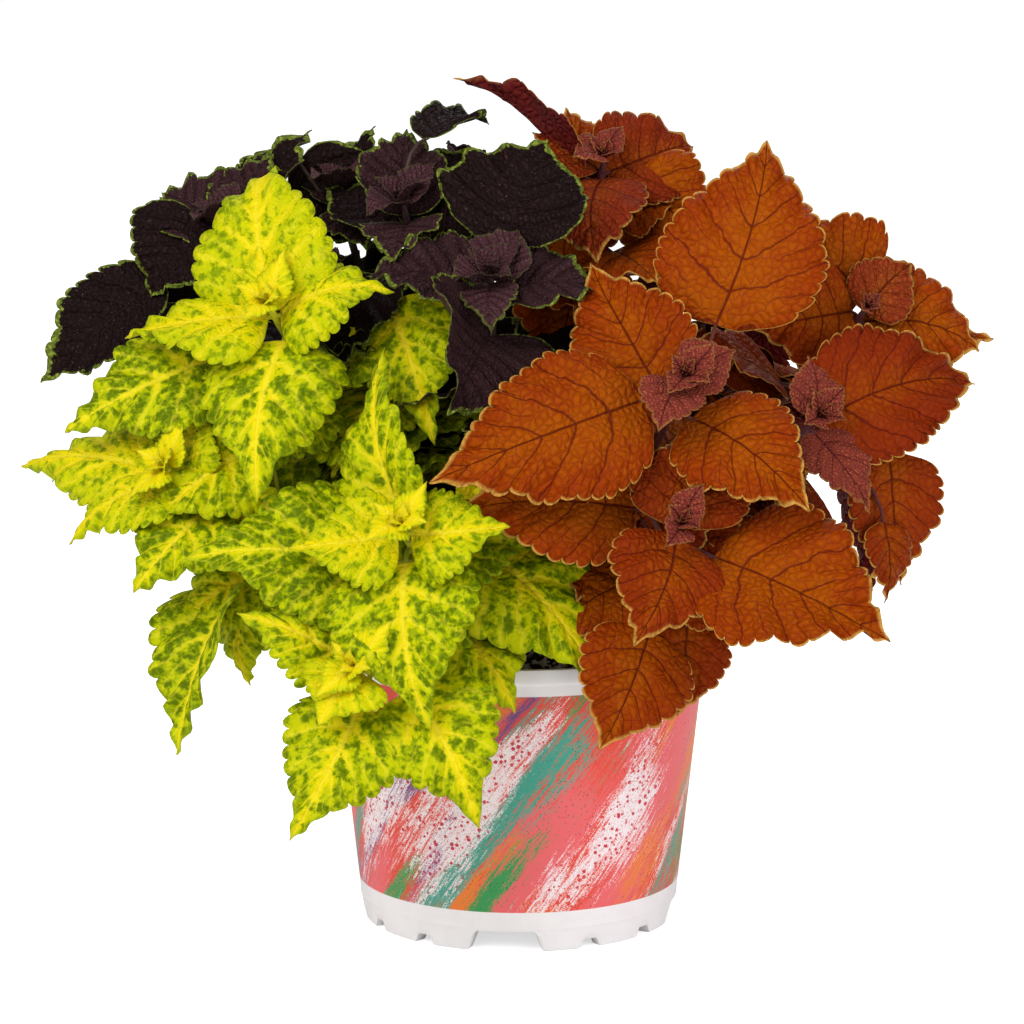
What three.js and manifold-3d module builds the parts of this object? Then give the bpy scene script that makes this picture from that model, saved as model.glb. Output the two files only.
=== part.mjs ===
// A trio of coleus in a 16.5 cm nursery pot: lime, dark and orange plants, each a bunch of leafy stems.
// Millimetres, +Z up. The origin lies under the middle of the whole plant, on the surface it stands on.
import * as THREE from 'three';
import { mergeVertices } from 'three/addons/utils/BufferGeometryUtils.js';
import Module from 'manifold-3d';

// ---- Driving dimensions ----------------------------------------------------------------------------

const POT = {
  height: 128,
  footHeight: 10,
  footRadius: 68.5,
  footInnerRadius: 61,
  footDraft: 1,
  baseRadius: 70.2,
  shoulderRadius: 82.6,
  rimBelow: 7,
  rimStep: 1.1,
  rimFlare: 0.4,
  rimRounding: 1,
  rimOuterLip: 0.6,
  wall: 1.6,
  floorThickness: 2,
  sides: 36,
  wideGaps: 4,
  wideGapDegrees: 20,
  wideGapTurn: -5,
  wideGapDepth: 9,
  notchDegrees: 4.6,
  notchDepth: 4,
  notchTurns: [32, 58],
  gapChamfer: 5,
  gapChamferShare: 0.6,
  gapBelow: 1,
  drainRadius: 5,
  drainCircle: 44,
  drains: 6,
  drainSides: 8,
  drainPlug: 6,
  color: 0xf2efec,
  roughness: 0.4,
};

const SOIL = {
  top: 112,
  crown: 2.5,
  shoulderShare: 0.6,
  gap: 0.4,
  sides: 24,
  color: 0x3a2a20,
  roughness: 0.95,
};

const STEM = {
  side: 4.2,
  depth: 30,
  holeGap: 0.5,
  steps: 5,
  rise: 8,
  lean: 0.38,
};

const BLADE = {
  thickness: 0.9,
  petioleThickness: 2,
  petioleHalfWidth: 1.1,
  baseHalfWidth: 1.8,
  toothTip: 0.68,
  toothWidest: 0.6,
  toothOut: 1.13,
  toothIn: 0.92,
  clearance: 0.7,
};

// Teeth on each side of a leaf, by its length.
const TEETH_BY_LENGTH = [
  { over: 66, teeth: 5 },
  { over: 49, teeth: 4 },
  { over: 30, teeth: 3 },
  { over: 0, teeth: 2 },
];

// Leaf pairs down a stem: how far below its tip a pair grows, its petiole, and how far the leaf tips
// hang below the growing tip, measured along the shoot's axis.
const PAIRS = [
  { below: 4, petiole: 4, sink: -1 },
  { below: 9, petiole: 9, sink: 7 },
  { below: 22, petiole: 16, sink: 16 },
  { below: 40, petiole: 24, sink: 26 },
];

// Each kind of coleus: leaf outline (how far up its widest place is, how drawn out its tip), how far
// the blade folds up from its midrib and arches along it, and its colour.
const KINDS = {
  lime: { widest: 0.34, taper: 1.35, fold: 0.16, arch: 0.1, color: 0xb9c91c, roughness: 0.55 },
  dark: { widest: 0.42, taper: 1.0, fold: 0.14, arch: 0.09, color: 0x2a1418, roughness: 0.6 },
  orange: { widest: 0.4, taper: 1.1, fold: 0.15, arch: 0.08, color: 0xb04a16, roughness: 0.5 },
};

// Leaf tips and shoot tips in front are laid out on an upright drawing plane through the pot's axis,
// as seen from a viewpoint in front of the pot: across and up are read on that plane, and toward brings
// a point nearer along its line of sight.
const VIEWPOINT = new THREE.Vector3(-3, -1960, 536);

// How far nearer or farther than its growing tip a leaf's tip may lie, by their distance as drawn, and
// where a leaf's drawn base lies between its root and its tip.
const TIP_REACH_SHARE = 0.8;
const TIP_REACH_LEAST = 8;
const BASE_TOWARD_SHARE = 0.25;

// A leaf that would meet another swings about its root by these angles until it is clear.
const PITCHES = [0, 5, -5, 10, -10, 15, -15, 20, -20, 26, -26, 32, -32, 40, -40];
const YAWS = [0, 7, -7, 14, -14, 21, -21];

// ---- Shoots ----------------------------------------------------------------------------------------
// apex: [across, up, toward] of the growing tip; axis: the way it grows; foot: [x, y] of its stem in
// the soil. leaves: tip [across, up], width, pair, with base, toward, face or fold where a leaf departs
// from the rule.

const SHOOTS = [
  {
    name: 'lime_stem_1',
    kind: 'lime',
    apex: [-110, 274, 62],
    axis: [-0.3, -0.6, 0.74],
    foot: [-34, -12],
    leaves: [
      { tip: [-113, 337], width: 58, pair: 1 },
      { tip: [-115, 186], width: 56, pair: 2, base: [-103, 257], toward: 98 },
      { tip: [-172, 258], width: 46, pair: 1 },
      { tip: [-55, 280], width: 42, pair: 1 },
      { tip: [-200, 218], width: 50, pair: 3, base: [-134, 250] },
      { tip: [-113, 300], width: 18, pair: 0 },
      { tip: [-138, 206], width: 44, pair: 3, toward: 62 },
    ],
  },
  {
    name: 'lime_stem_3',
    kind: 'lime',
    apex: [-52, 176, 122],
    axis: [-0.15, -0.72, 0.68],
    foot: [-22, -44],
    leaves: [
      { tip: [-59, 254], width: 38, pair: 2, fold: 0.7 },
      { tip: [-40, 83], width: 56, pair: 2, base: [-50, 158], toward: 146 },
      { tip: [-147, 161], width: 64, pair: 3, toward: 104 },
      { tip: [-102, 165], width: 38, pair: 1 },
      { tip: [-4, 175], width: 38, pair: 1 },
    ],
  },
  {
    name: 'lime_stem_4',
    kind: 'lime',
    apex: [-73, 112, 138],
    axis: [-0.3, -0.8, 0.52],
    foot: [-44, -30],
    leaves: [
      { tip: [-102, 32], width: 50, pair: 2, base: [-70, 94], toward: 150 },
      { tip: [-18, 38], width: 50, pair: 2, base: [-48, 101], toward: 146 },
      { tip: [-125, 135], width: 36, pair: 2, toward: 122 },
      { tip: [-89, 85], width: 36, pair: 0 },
    ],
  },
  {
    name: 'lime_stem_2',
    kind: 'lime',
    apex: [-155, 201, 66],
    axis: [-0.55, -0.6, 0.58],
    foot: [-50, -8],
    leaves: [
      { tip: [-219, 201], width: 44, pair: 1 },
      { tip: [-199, 168], width: 40, pair: 1 },
      { tip: [-171, 146], width: 50, pair: 2, base: [-134, 186], toward: 90, face: [-0.3, -0.85, 0.4] },
      { tip: [-136, 229], width: 38, pair: 1 },
    ],
  },
  {
    name: 'lime_stem_6',
    kind: 'lime',
    apex: [-20, 186, 76],
    axis: [0.1, -0.7, 0.7],
    foot: [-4, -50],
    leaves: [
      { tip: [37, 101], width: 64, pair: 2, base: [-20, 166], toward: 102 },
      { tip: [0, 93], width: 54, pair: 2, base: [-30, 136], toward: 112 },
      { tip: [48, 136], width: 34, pair: 3, toward: 84 },
      { tip: [-50, 176], width: 46, pair: 2, toward: 82 },
    ],
  },
  {
    name: 'lime_stem_5',
    kind: 'lime',
    apex: [-122, 168, 72],
    axis: [-0.5, -0.6, 0.62],
    foot: [-56, -26],
    leaves: [
      { tip: [-149, 74], width: 46, pair: 3, base: [-124, 147], toward: 100 },
      { tip: [-112, 198], width: 50, pair: 2, toward: 74 },
      { tip: [-121, 103], width: 32, pair: 2, base: [-120, 148], toward: 88 },
      { tip: [-152, 130], width: 40, pair: 2, toward: 60 },
      { tip: [-76, 122], width: 48, pair: 3, toward: 92 },
    ],
  },
  {
    name: 'lime_stem_7',
    kind: 'lime',
    apex: [-62, 262, 26],
    axis: [-0.1, -0.5, 0.86],
    foot: [-20, -20],
    leaves: [
      { tip: [-36, 211], width: 46, pair: 2, base: [-56, 274], toward: 72, face: [-0.2, -0.9, 0.3] },
      { tip: [-82, 196], width: 48, pair: 2, toward: 54 },
    ],
  },
  {
    name: 'dark_stem_1',
    kind: 'dark',
    apex: [-12, 286, 66],
    axis: [0, -0.58, 0.81],
    foot: [-8, -22],
    leaves: [
      { tip: [12, 345], width: 62, pair: 2, base: [-4, 300], toward: 26 },
      { tip: [-29, 224], width: 56, pair: 2, base: [-14, 262] },
      { tip: [-67, 285], width: 40, pair: 1 },
      { tip: [40, 279], width: 36, pair: 1 },
      { tip: [0, 306], width: 26, pair: 0 },
      { tip: [-12, 262], width: 22, pair: 0 },
    ],
  },
  {
    name: 'dark_stem_2',
    kind: 'dark',
    apex: [-50, 318, 22],
    axis: [-0.1, -0.4, 0.91],
    foot: [-16, 2],
    leaves: [
      { tip: [-49, 351], width: 36, pair: 1 },
      { tip: [-57, 291], width: 32, pair: 1 },
      { tip: [-21, 342], width: 34, pair: 2 },
      { tip: [-84, 325], width: 34, pair: 2 },
      { tip: [-20, 304], width: 38, pair: 2, face: [0, -0.7, 0.7] },
      { tip: [-13, 354], width: 24, pair: 2, base: [-41, 346], toward: -34 },
      { tip: [-80, 239], width: 40, pair: 3, base: [-60, 279], toward: 34 },
    ],
  },
  {
    name: 'dark_stem_3',
    kind: 'dark',
    apex: [-128, 311, 4],
    axis: [-0.45, -0.25, 0.86],
    foot: [-46, 16],
    leaves: [
      { tip: [-209, 238], width: 40, pair: 3, base: [-158, 284], toward: 6, face: [-0.3, -0.8, 0.5] },
      { tip: [-162, 276], width: 44, pair: 2, base: [-143, 311], face: [-0.3, -0.8, 0.5] },
      { tip: [-92, 351], width: 36, pair: 2, toward: -34 },
      { tip: [-156, 322], width: 40, pair: 1 },
      { tip: [-106, 339], width: 30, pair: 1 },
      { tip: [-202, 262], width: 40, pair: 3, toward: -34 },
    ],
  },
  {
    name: 'dark_stem_4',
    kind: 'dark',
    apex: [-78, 325, -14],
    axis: [-0.15, -0.2, 0.96],
    foot: [-24, 24],
    leaves: [
      { tip: [-98, 339], width: 22, pair: 1 },
      { tip: [-66, 297], width: 26, pair: 1 },
      { tip: [-63, 352], width: 24, pair: 2 },
      { tip: [-118, 318], width: 26, pair: 3, toward: -24 },
    ],
  },
  {
    name: 'orange_stem_1',
    kind: 'orange',
    apex: [73, 242, 108],
    axis: [0.15, -0.72, 0.68],
    foot: [30, -34],
    leaves: [
      { tip: [108, 346], width: 66, pair: 3, base: [86, 264] },
      { tip: [-39, 195], width: 60, pair: 2, base: [54, 230], toward: 122 },
      { tip: [27, 280], width: 48, pair: 2 },
      { tip: [128, 181], width: 48, pair: 2 },
      { tip: [95, 253], width: 24, pair: 0 },
      { tip: [62, 217], width: 25, pair: 0 },
      { tip: [74, 196], width: 48, pair: 3, toward: 92 },
    ],
  },
  {
    name: 'orange_stem_2',
    kind: 'orange',
    apex: [72, 176, 124],
    axis: [0.15, -0.8, 0.58],
    foot: [44, -44],
    leaves: [
      { tip: [164, 122], width: 74, pair: 2, base: [86, 161], toward: 142 },
      { tip: [51, 122], width: 46, pair: 1 },
      { tip: [80, 219], width: 46, pair: 1 },
      { tip: [36, 73], width: 46, pair: 3, base: [58, 128], toward: 118 },
      { tip: [70, 89], width: 36, pair: 3, base: [76, 130], toward: 104 },
      { tip: [40, 208], width: 44, pair: 3, toward: 88 },
      { tip: [58, 152], width: 50, pair: 3, toward: 84 },
      { tip: [98, 128], width: 30, pair: 3, toward: 92 },
      { tip: [-29, 182], width: 50, pair: 3, base: [48, 182], toward: 112 },
    ],
  },
  {
    name: 'orange_stem_3',
    kind: 'orange',
    apex: [132, 224, 82],
    axis: [0.45, -0.65, 0.61],
    foot: [54, -26],
    leaves: [
      { tip: [201, 239], width: 54, pair: 1 },
      { tip: [156, 181], width: 30, pair: 1 },
      { tip: [127, 251], width: 25, pair: 0 },
      { tip: [108, 206], width: 44, pair: 2, toward: 78 },
      { tip: [168, 148], width: 46, pair: 3, base: [163, 206], toward: 60 },
      { tip: [162, 140], width: 26, pair: 2, base: [156, 172], toward: 72 },
    ],
  },
  {
    name: 'orange_stem_6',
    kind: 'orange',
    apex: [152, 272, 34],
    axis: [0.4, -0.55, 0.73],
    foot: [52, 4],
    leaves: [
      { tip: [202, 252], width: 48, pair: 1, face: [0.2, -0.8, 0.55] },
      { tip: [112, 306], width: 54, pair: 2, base: [150, 276], toward: 12, face: [0.1, -0.9, 0.45] },
      { tip: [102, 262], width: 54, pair: 2, base: [146, 270], toward: 44, face: [0.1, -0.9, 0.4] },
      { tip: [140, 228], width: 46, pair: 2, face: [0.3, -0.9, 0.3] },
      { tip: [171, 291], width: 28, pair: 0 },
      { tip: [208, 257], width: 40, pair: 3, toward: -2 },
    ],
  },
  {
    name: 'orange_stem_4',
    kind: 'orange',
    apex: [37, 338, 4],
    axis: [0.08, -0.38, 0.92],
    foot: [12, 2],
    leaves: [
      { tip: [-26, 374], width: 44, pair: 2, toward: -24, fold: 0.4 },
      { tip: [76, 344], width: 46, pair: 1, face: [0.1, -0.7, 0.7] },
      { tip: [6, 349], width: 36, pair: 1 },
      { tip: [70, 318], width: 40, pair: 2, face: [0.1, -0.7, 0.7] },
      { tip: [34, 292], width: 42, pair: 1, face: [0, -0.8, 0.6] },
      { tip: [60, 284], width: 46, pair: 3, face: [0.1, -0.8, 0.6] },
      { tip: [20, 360], width: 26, pair: 2, toward: -30 },
    ],
  },
];

// Shoots on the far side, by rule: where the growing tip is, the way it grows, and its stem's foot.
const FAR_SHOOTS = [
  { name: 'dark_stem_5', kind: 'dark', apex: [-20, 62, 322], axis: [0, 0.35, 0.94], foot: [-4, 34] },
  { name: 'dark_stem_6', kind: 'dark', apex: [-92, 108, 272], axis: [-0.4, 0.6, 0.7], foot: [-30, 44] },
  { name: 'dark_stem_7', kind: 'dark', apex: [-150, 78, 232], axis: [-0.7, 0.4, 0.6], foot: [-54, 38] },
  { name: 'dark_stem_8', kind: 'dark', apex: [-72, 168, 214], axis: [-0.3, 0.8, 0.5], foot: [-16, 56] },
  { name: 'orange_stem_5', kind: 'orange', apex: [158, 36, 222], axis: [0.8, 0.1, 0.6], foot: [62, 22] },
  { name: 'orange_stem_7', kind: 'orange', apex: [98, 88, 280], axis: [0.4, 0.55, 0.75], foot: [28, 26] },
  { name: 'orange_stem_8', kind: 'orange', apex: [22, 146, 250], axis: [0.1, 0.75, 0.66], foot: [10, 56] },
  { name: 'orange_stem_9', kind: 'orange', apex: [112, 156, 212], axis: [0.5, 0.7, 0.5], foot: [42, 48] },
];
const FAR_PAIRS = [
  { pair: 1, length: 44, width: 34 },
  { pair: 2, length: 64, width: 50 },
  { pair: 3, length: 70, width: 54 },
];
const FAR_DROOP = 20;
const FAR_TURN = 90;
const FAR_JITTER = 14;
const FAR_SIZE_SPREAD = 0.2;
const FAR_SEED = 41;

// ---- Small helpers ---------------------------------------------------------------------------------

const wasm = await Module();
wasm.setup();

const UP = new THREE.Vector3(0, 0, 1);
const SAME_POINT = 1e-4;
const DRAW_FACTOR = 1664525;
const DRAW_STEP = 1013904223;
const DRAW_RANGE = 2 ** 32;
const radians = THREE.MathUtils.degToRad;

// The part of a vector that is square to dir, as a unit vector.
function squareTo(vector, dir) {
  return vector.clone().addScaledVector(dir, -vector.dot(dir)).normalize();
}

function vec([x, y, z]) {
  return new THREE.Vector3(x, y, z);
}

// A seeded draw between 0 and 1.
function seededDraw(seed) {
  let state = seed;
  return () => {
    state = (state * DRAW_FACTOR + DRAW_STEP) % DRAW_RANGE;
    return state / DRAW_RANGE;
  };
}

function toSolid(geometry) {
  const bare = geometry.clone();
  bare.deleteAttribute('normal');
  bare.deleteAttribute('uv');
  const merged = mergeVertices(bare, SAME_POINT);
  return new wasm.Manifold(
    new wasm.Mesh({
      numProp: 3,
      vertProperties: new Float32Array(merged.attributes.position.array),
      triVerts: new Uint32Array(merged.index.array),
    }),
  );
}

function toGeometry(solid) {
  const mesh = solid.getMesh();
  const geometry = new THREE.BufferGeometry();
  geometry.setAttribute('position', new THREE.BufferAttribute(mesh.vertProperties, 3));
  geometry.setIndex(new THREE.BufferAttribute(mesh.triVerts, 1));
  const flat = geometry.toNonIndexed();
  flat.computeVertexNormals();
  return flat;
}

function meet(a, b) {
  const boxA = a.boundingBox();
  const boxB = b.boundingBox();
  for (let i = 0; i < 3; i += 1) {
    if (boxA.min[i] > boxB.max[i] || boxB.min[i] > boxA.max[i]) {
      return false;
    }
  }
  return !a.intersect(b).isEmpty();
}

function latheAroundZ(points, sides) {
  const geometry = new THREE.LatheGeometry(
    points.map(([radius, z]) => new THREE.Vector2(radius, z)),
    sides,
  );
  return geometry.rotateX(Math.PI / 2);
}

// ---- Pot and soil ----------------------------------------------------------------------------------

function wallRadius(z) {
  const share = (z - POT.footHeight) / (POT.height - POT.rimBelow - POT.footHeight);
  return POT.baseRadius + (POT.shoulderRadius - POT.baseRadius) * share;
}

// A wedge that cuts a gap between two feet: narrow above, wide at the floor.
function footCutter(degrees, depth, turn) {
  const reach = POT.baseRadius + POT.gapChamfer;
  const halfTop = Math.tan(radians(degrees / 2)) * POT.baseRadius;
  const halfBottom = halfTop + Math.min(POT.gapChamfer, depth * POT.gapChamferShare);
  const outline = new THREE.Shape();
  outline.moveTo(-halfTop, depth);
  outline.lineTo(-halfBottom, -POT.gapBelow);
  outline.lineTo(halfBottom, -POT.gapBelow);
  outline.lineTo(halfTop, depth);
  outline.closePath();
  const length = reach - POT.footInnerRadius + POT.gapChamfer;
  const geometry = new THREE.ExtrudeGeometry(outline, { depth: length, bevelEnabled: false });
  geometry.rotateX(Math.PI / 2);
  geometry.translate(0, -(reach - length), 0);
  geometry.rotateZ(radians(turn));
  return toSolid(geometry);
}

function makePot() {
  const innerFloor = POT.footHeight + POT.floorThickness;
  const shoulder = POT.height - POT.rimBelow;
  const rimRadius = POT.shoulderRadius + POT.rimStep;
  let pot = toSolid(
    latheAroundZ(
      [
        [0, POT.footHeight],
        [POT.footInnerRadius, POT.footHeight],
        [POT.footInnerRadius + POT.footDraft, 0],
        [POT.footRadius, 0],
        [POT.baseRadius, POT.footHeight],
        [POT.shoulderRadius, shoulder],
        [rimRadius, shoulder + POT.rimRounding],
        [rimRadius + POT.rimFlare, POT.height - POT.rimRounding],
        [rimRadius - POT.rimOuterLip, POT.height],
        [rimRadius - POT.wall - POT.rimFlare, POT.height],
        [wallRadius(shoulder) - POT.wall, shoulder - POT.rimRounding],
        [wallRadius(innerFloor) - POT.wall, innerFloor],
        [0, innerFloor],
      ],
      POT.sides,
    ),
  );
  for (let i = 0; i < POT.wideGaps; i += 1) {
    const turn = POT.wideGapTurn + (i * 360) / POT.wideGaps;
    pot = pot.subtract(footCutter(POT.wideGapDegrees, POT.wideGapDepth, turn));
    for (const notchTurn of POT.notchTurns) {
      pot = pot.subtract(footCutter(POT.notchDegrees, POT.notchDepth, turn + notchTurn));
    }
  }
  for (let i = 0; i < POT.drains; i += 1) {
    const drain = new THREE.CylinderGeometry(
      POT.drainRadius,
      POT.drainRadius,
      POT.drainPlug,
      POT.drainSides,
    );
    drain.rotateX(Math.PI / 2);
    drain.translate(POT.drainCircle, 0, POT.footHeight + POT.floorThickness / 2);
    drain.rotateZ((i * 2 * Math.PI) / POT.drains);
    pot = pot.subtract(toSolid(drain));
  }
  return pot;
}

function makeSoil(feet) {
  const bottom = POT.footHeight + POT.floorThickness + SOIL.gap;
  const inner = POT.wall + SOIL.gap;
  let soil = toSolid(
    latheAroundZ(
      [
        [0, bottom],
        [wallRadius(bottom) - inner, bottom],
        [wallRadius(SOIL.top) - inner, SOIL.top],
        [POT.footInnerRadius, SOIL.top + SOIL.crown * SOIL.shoulderShare],
        [0, SOIL.top + SOIL.crown],
      ],
      SOIL.sides,
    ),
  );
  const holeSide = STEM.side + 2 * STEM.holeGap;
  const holeHeight = STEM.depth + SOIL.crown * 2 + STEM.holeGap;
  for (const [x, y] of feet) {
    const hole = new THREE.BoxGeometry(holeSide, holeSide, holeHeight);
    hole.translate(x, y, SOIL.top - STEM.depth - STEM.holeGap + holeHeight / 2);
    soil = soil.subtract(toSolid(hole));
  }
  return soil;
}

// ---- Leaves ----------------------------------------------------------------------------------------

// The point [across, up] of the drawing plane, brought the share t of the way to the viewpoint.
function onSightLine([across, up], toward) {
  return new THREE.Vector3(across, 0, up).lerp(VIEWPOINT, toward / -VIEWPOINT.y);
}

// Where the line of sight through [across, up] reaches the shoot's leaf tips, sink below its apex.
function tipOnShoot(drawn, apex, axis, sink, apexToward) {
  const start = new THREE.Vector3(drawn[0], 0, drawn[1]);
  const along = VIEWPOINT.clone().sub(start);
  const share = (-sink - start.clone().sub(apex).dot(axis)) / along.dot(axis);
  const away = Math.hypot(drawn[0] - apex.x, drawn[1] - apex.z);
  const reach = away * TIP_REACH_SHARE + TIP_REACH_LEAST;
  const toward = THREE.MathUtils.clamp(share * -VIEWPOINT.y, apexToward - reach, apexToward + reach);
  return onSightLine(drawn, toward);
}

// A leaf's half width at u, from 0 at its base to 1 at its tip, as a share of its largest.
function outlineAt(u, kind) {
  const rise = (kind.taper * kind.widest) / (1 - kind.widest);
  return (u / kind.widest) ** rise * ((1 - u) / (1 - kind.widest)) ** kind.taper;
}

// One closed leaf: two like-triangulated faces and the rim between them, with its petiole unless bare.
// grow makes it larger all round, to test that it is clear of others.
function leafSolid(leaf, grow = 0, bare = false) {
  const kind = KINDS[leaf.kind];
  const along = leaf.tip.clone().sub(leaf.base);
  const length = along.length() + grow;
  const dir = along.normalize();
  const normal = squareTo(leaf.normal, dir);
  const side = new THREE.Vector3().crossVectors(dir, normal);
  const halfWidth = leaf.width / 2 + grow;
  const halfThickness = BLADE.thickness / 2 + grow;
  const fold = leaf.fold ?? kind.fold;
  const vertices = [];
  const add = (place, out, half) => vertices.push({ place, out: out.clone().multiplyScalar(half) }) - 1;
  const addBlade = (u, across, half = halfThickness) => {
    const raised = kind.arch * length * 4 * u * (1 - u) + fold * Math.abs(across);
    const place = leaf.base.clone().addScaledVector(dir, u * length);
    return add(place.addScaledVector(side, across).addScaledVector(normal, raised), normal, half);
  };
  const teeth = TEETH_BY_LENGTH.find(({ over }) => length > over).teeth;
  const stalkHalf = BLADE.petioleThickness / 2 + grow;
  const middle = [addBlade(0, 0, stalkHalf)];
  for (let k = 1; k <= teeth; k += 1) {
    middle.push(addBlade(k / teeth, 0));
  }
  const stalkDir = leaf.base.clone().sub(leaf.root).normalize();
  const stalkNormal = squareTo(normal, stalkDir);
  const stalkSide = new THREE.Vector3().crossVectors(stalkDir, stalkNormal);
  const stalkRoot = bare ? null : add(leaf.root, stalkNormal, stalkHalf);
  const faces = [];
  const rims = [];
  for (const hand of [1, -1]) {
    let edge = addBlade(0, hand * BLADE.baseHalfWidth, stalkHalf);
    if (bare) {
      rims.push([middle[0], edge, hand]);
    } else {
      const place = leaf.root.clone().addScaledVector(stalkSide, hand * (BLADE.petioleHalfWidth + grow));
      const corner = add(place, stalkNormal, stalkHalf);
      faces.push([stalkRoot, corner, edge, hand], [stalkRoot, edge, middle[0], hand]);
      rims.push([stalkRoot, corner, hand], [corner, edge, hand]);
    }
    for (let k = 0; k < teeth; k += 1) {
      const last = k === teeth - 1;
      const nextU = (k + 1) / teeth;
      const toothHalf = halfWidth * outlineAt((k + BLADE.toothWidest) / teeth, kind) * BLADE.toothOut;
      const notchHalf = halfWidth * outlineAt(nextU, kind) * BLADE.toothIn;
      const tooth = addBlade((k + BLADE.toothTip) / teeth, hand * toothHalf);
      const notch = last ? middle[teeth] : addBlade(nextU, hand * notchHalf);
      faces.push([middle[k], edge, tooth, hand], [middle[k], tooth, middle[k + 1], hand]);
      if (!last) {
        faces.push([middle[k + 1], tooth, notch, hand]);
      }
      rims.push([edge, tooth, hand], [tooth, notch, hand]);
      edge = notch;
    }
  }
  const count = vertices.length;
  const positions = [];
  for (const way of [1, -1]) {
    for (const { place, out } of vertices) {
      positions.push(...place.clone().addScaledVector(out, way).toArray());
    }
  }
  const index = [];
  const addFace = (a, b, c, hand) => index.push(...(hand > 0 ? [a, b, c] : [a, c, b]));
  for (const [a, b, c, hand] of faces) {
    addFace(a, b, c, hand);
    addFace(a + count, c + count, b + count, hand);
  }
  for (const [a, b, hand] of rims) {
    addFace(a, a + count, b, hand);
    addFace(b, a + count, b + count, hand);
  }
  return new wasm.Manifold(
    new wasm.Mesh({
      numProp: 3,
      vertProperties: new Float32Array(positions),
      triVerts: new Uint32Array(index),
    }),
  );
}

// The leaf turned about its root: pitch lifts or lowers its tip, yaw swings it in its own plane.
function swung(leaf, pitch, yaw) {
  const dir = leaf.tip.clone().sub(leaf.root).normalize();
  const normal = squareTo(leaf.normal, dir);
  const side = new THREE.Vector3().crossVectors(dir, normal);
  const turn = new THREE.Quaternion()
    .setFromAxisAngle(normal, radians(yaw))
    .multiply(new THREE.Quaternion().setFromAxisAngle(side, radians(pitch)));
  const about = (p) => p.clone().sub(leaf.root).applyQuaternion(turn).add(leaf.root);
  return { ...leaf, base: about(leaf.base), tip: about(leaf.tip), normal: normal.applyQuaternion(turn) };
}

// ---- Shoots ----------------------------------------------------------------------------------------

// A stem's centre line: straight up out of its hole, then one bend to the growing tip.
class StemCurve extends THREE.Curve {
  constructor(apex, axis, [x, y]) {
    super();
    this.foot = new THREE.Vector3(x, y, SOIL.top - STEM.depth);
    const risen = new THREE.Vector3(x, y, SOIL.top + STEM.rise);
    const reach = STEM.lean * risen.distanceTo(apex);
    this.bend = new THREE.CubicBezierCurve3(
      risen,
      risen.clone().addScaledVector(UP, reach),
      apex.clone().addScaledVector(axis, -reach),
      apex,
    );
  }

  getPoint(t) {
    const straight = 1 / STEM.steps;
    if (t <= straight) {
      return this.foot.clone().lerp(this.bend.v0, t / straight);
    }
    return this.bend.getPoint((t - straight) / (1 - straight));
  }

  // The first step is the straight foot, so steps are even in t and not in length.
  getUtoTmapping(u) {
    return u;
  }
}

function stemSolid(curve) {
  const half = STEM.side / 2;
  const outline = new THREE.Shape();
  outline.moveTo(-half, -half);
  outline.lineTo(half, -half);
  outline.lineTo(half, half);
  outline.lineTo(-half, half);
  outline.closePath();
  return toSolid(new THREE.ExtrudeGeometry(outline, { steps: STEM.steps, extrudePath: curve }));
}

// The point of a stem that lies a given length below its growing tip.
function stemPoint({ bend }, below) {
  return bend.getPointAt(1 - below / bend.getLength());
}

function drawnShoot(row) {
  const axis = vec(row.axis).normalize();
  const apex = onSightLine(row.apex, row.apex[2]);
  const curve = new StemCurve(apex, axis, row.foot);
  const leaves = row.leaves.map((leafRow) => {
    const pair = PAIRS[leafRow.pair];
    const root = stemPoint(curve, pair.below);
    const tip =
      leafRow.toward === undefined
        ? tipOnShoot(leafRow.tip, apex, axis, pair.sink, row.apex[2])
        : onSightLine(leafRow.tip, leafRow.toward);
    const base = root.clone();
    if (leafRow.base) {
      const baseToward = -root.y + (root.y - tip.y) * BASE_TOWARD_SHARE;
      base.copy(onSightLine(leafRow.base, baseToward));
    } else {
      base.addScaledVector(tip.clone().sub(root).normalize(), pair.petiole);
    }
    const normal = leafRow.face ? vec(leafRow.face) : axis.clone();
    return { kind: row.kind, root, base, tip, normal, width: leafRow.width, fold: leafRow.fold };
  });
  return { name: row.name, kind: row.kind, curve, leaves, foot: row.foot };
}

function farShoot(row, draw) {
  const axis = vec(row.axis).normalize();
  const apex = vec(row.apex);
  const curve = new StemCurve(apex, axis, row.foot);
  const across = new THREE.Vector3().crossVectors(UP, axis).normalize();
  const over = new THREE.Vector3().crossVectors(axis, across);
  const leaves = [];
  FAR_PAIRS.forEach(({ pair, length, width }, level) => {
    const { below, petiole } = PAIRS[pair];
    const root = stemPoint(curve, below);
    for (const opposite of [0, 180]) {
      const angle = radians(level * FAR_TURN + opposite + (draw() - 0.5) * 2 * FAR_JITTER);
      const droop = radians(FAR_DROOP + (draw() - 0.5) * FAR_JITTER);
      const size = 1 + (draw() - 0.5) * FAR_SIZE_SPREAD;
      const dir = across
        .clone()
        .multiplyScalar(Math.cos(angle) * Math.cos(droop))
        .addScaledVector(over, Math.sin(angle) * Math.cos(droop))
        .addScaledVector(axis, -Math.sin(droop));
      const base = root.clone().addScaledVector(dir, petiole);
      const tip = base.clone().addScaledVector(dir, length * size);
      leaves.push({ kind: row.kind, root, base, tip, normal: axis.clone(), width: width * size });
    }
  });
  return { name: row.name, kind: row.kind, curve, leaves, foot: row.foot };
}

// ---- Assembly --------------------------------------------------------------------------------------

const draw = seededDraw(FAR_SEED);
const shoots = [...SHOOTS.map(drawnShoot), ...FAR_SHOOTS.map((row) => farShoot(row, draw))];
const pot = makePot();
const soil = makeSoil(shoots.map(({ foot }) => foot));
const stems = shoots.map(({ curve }) => stemSolid(curve));

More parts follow.
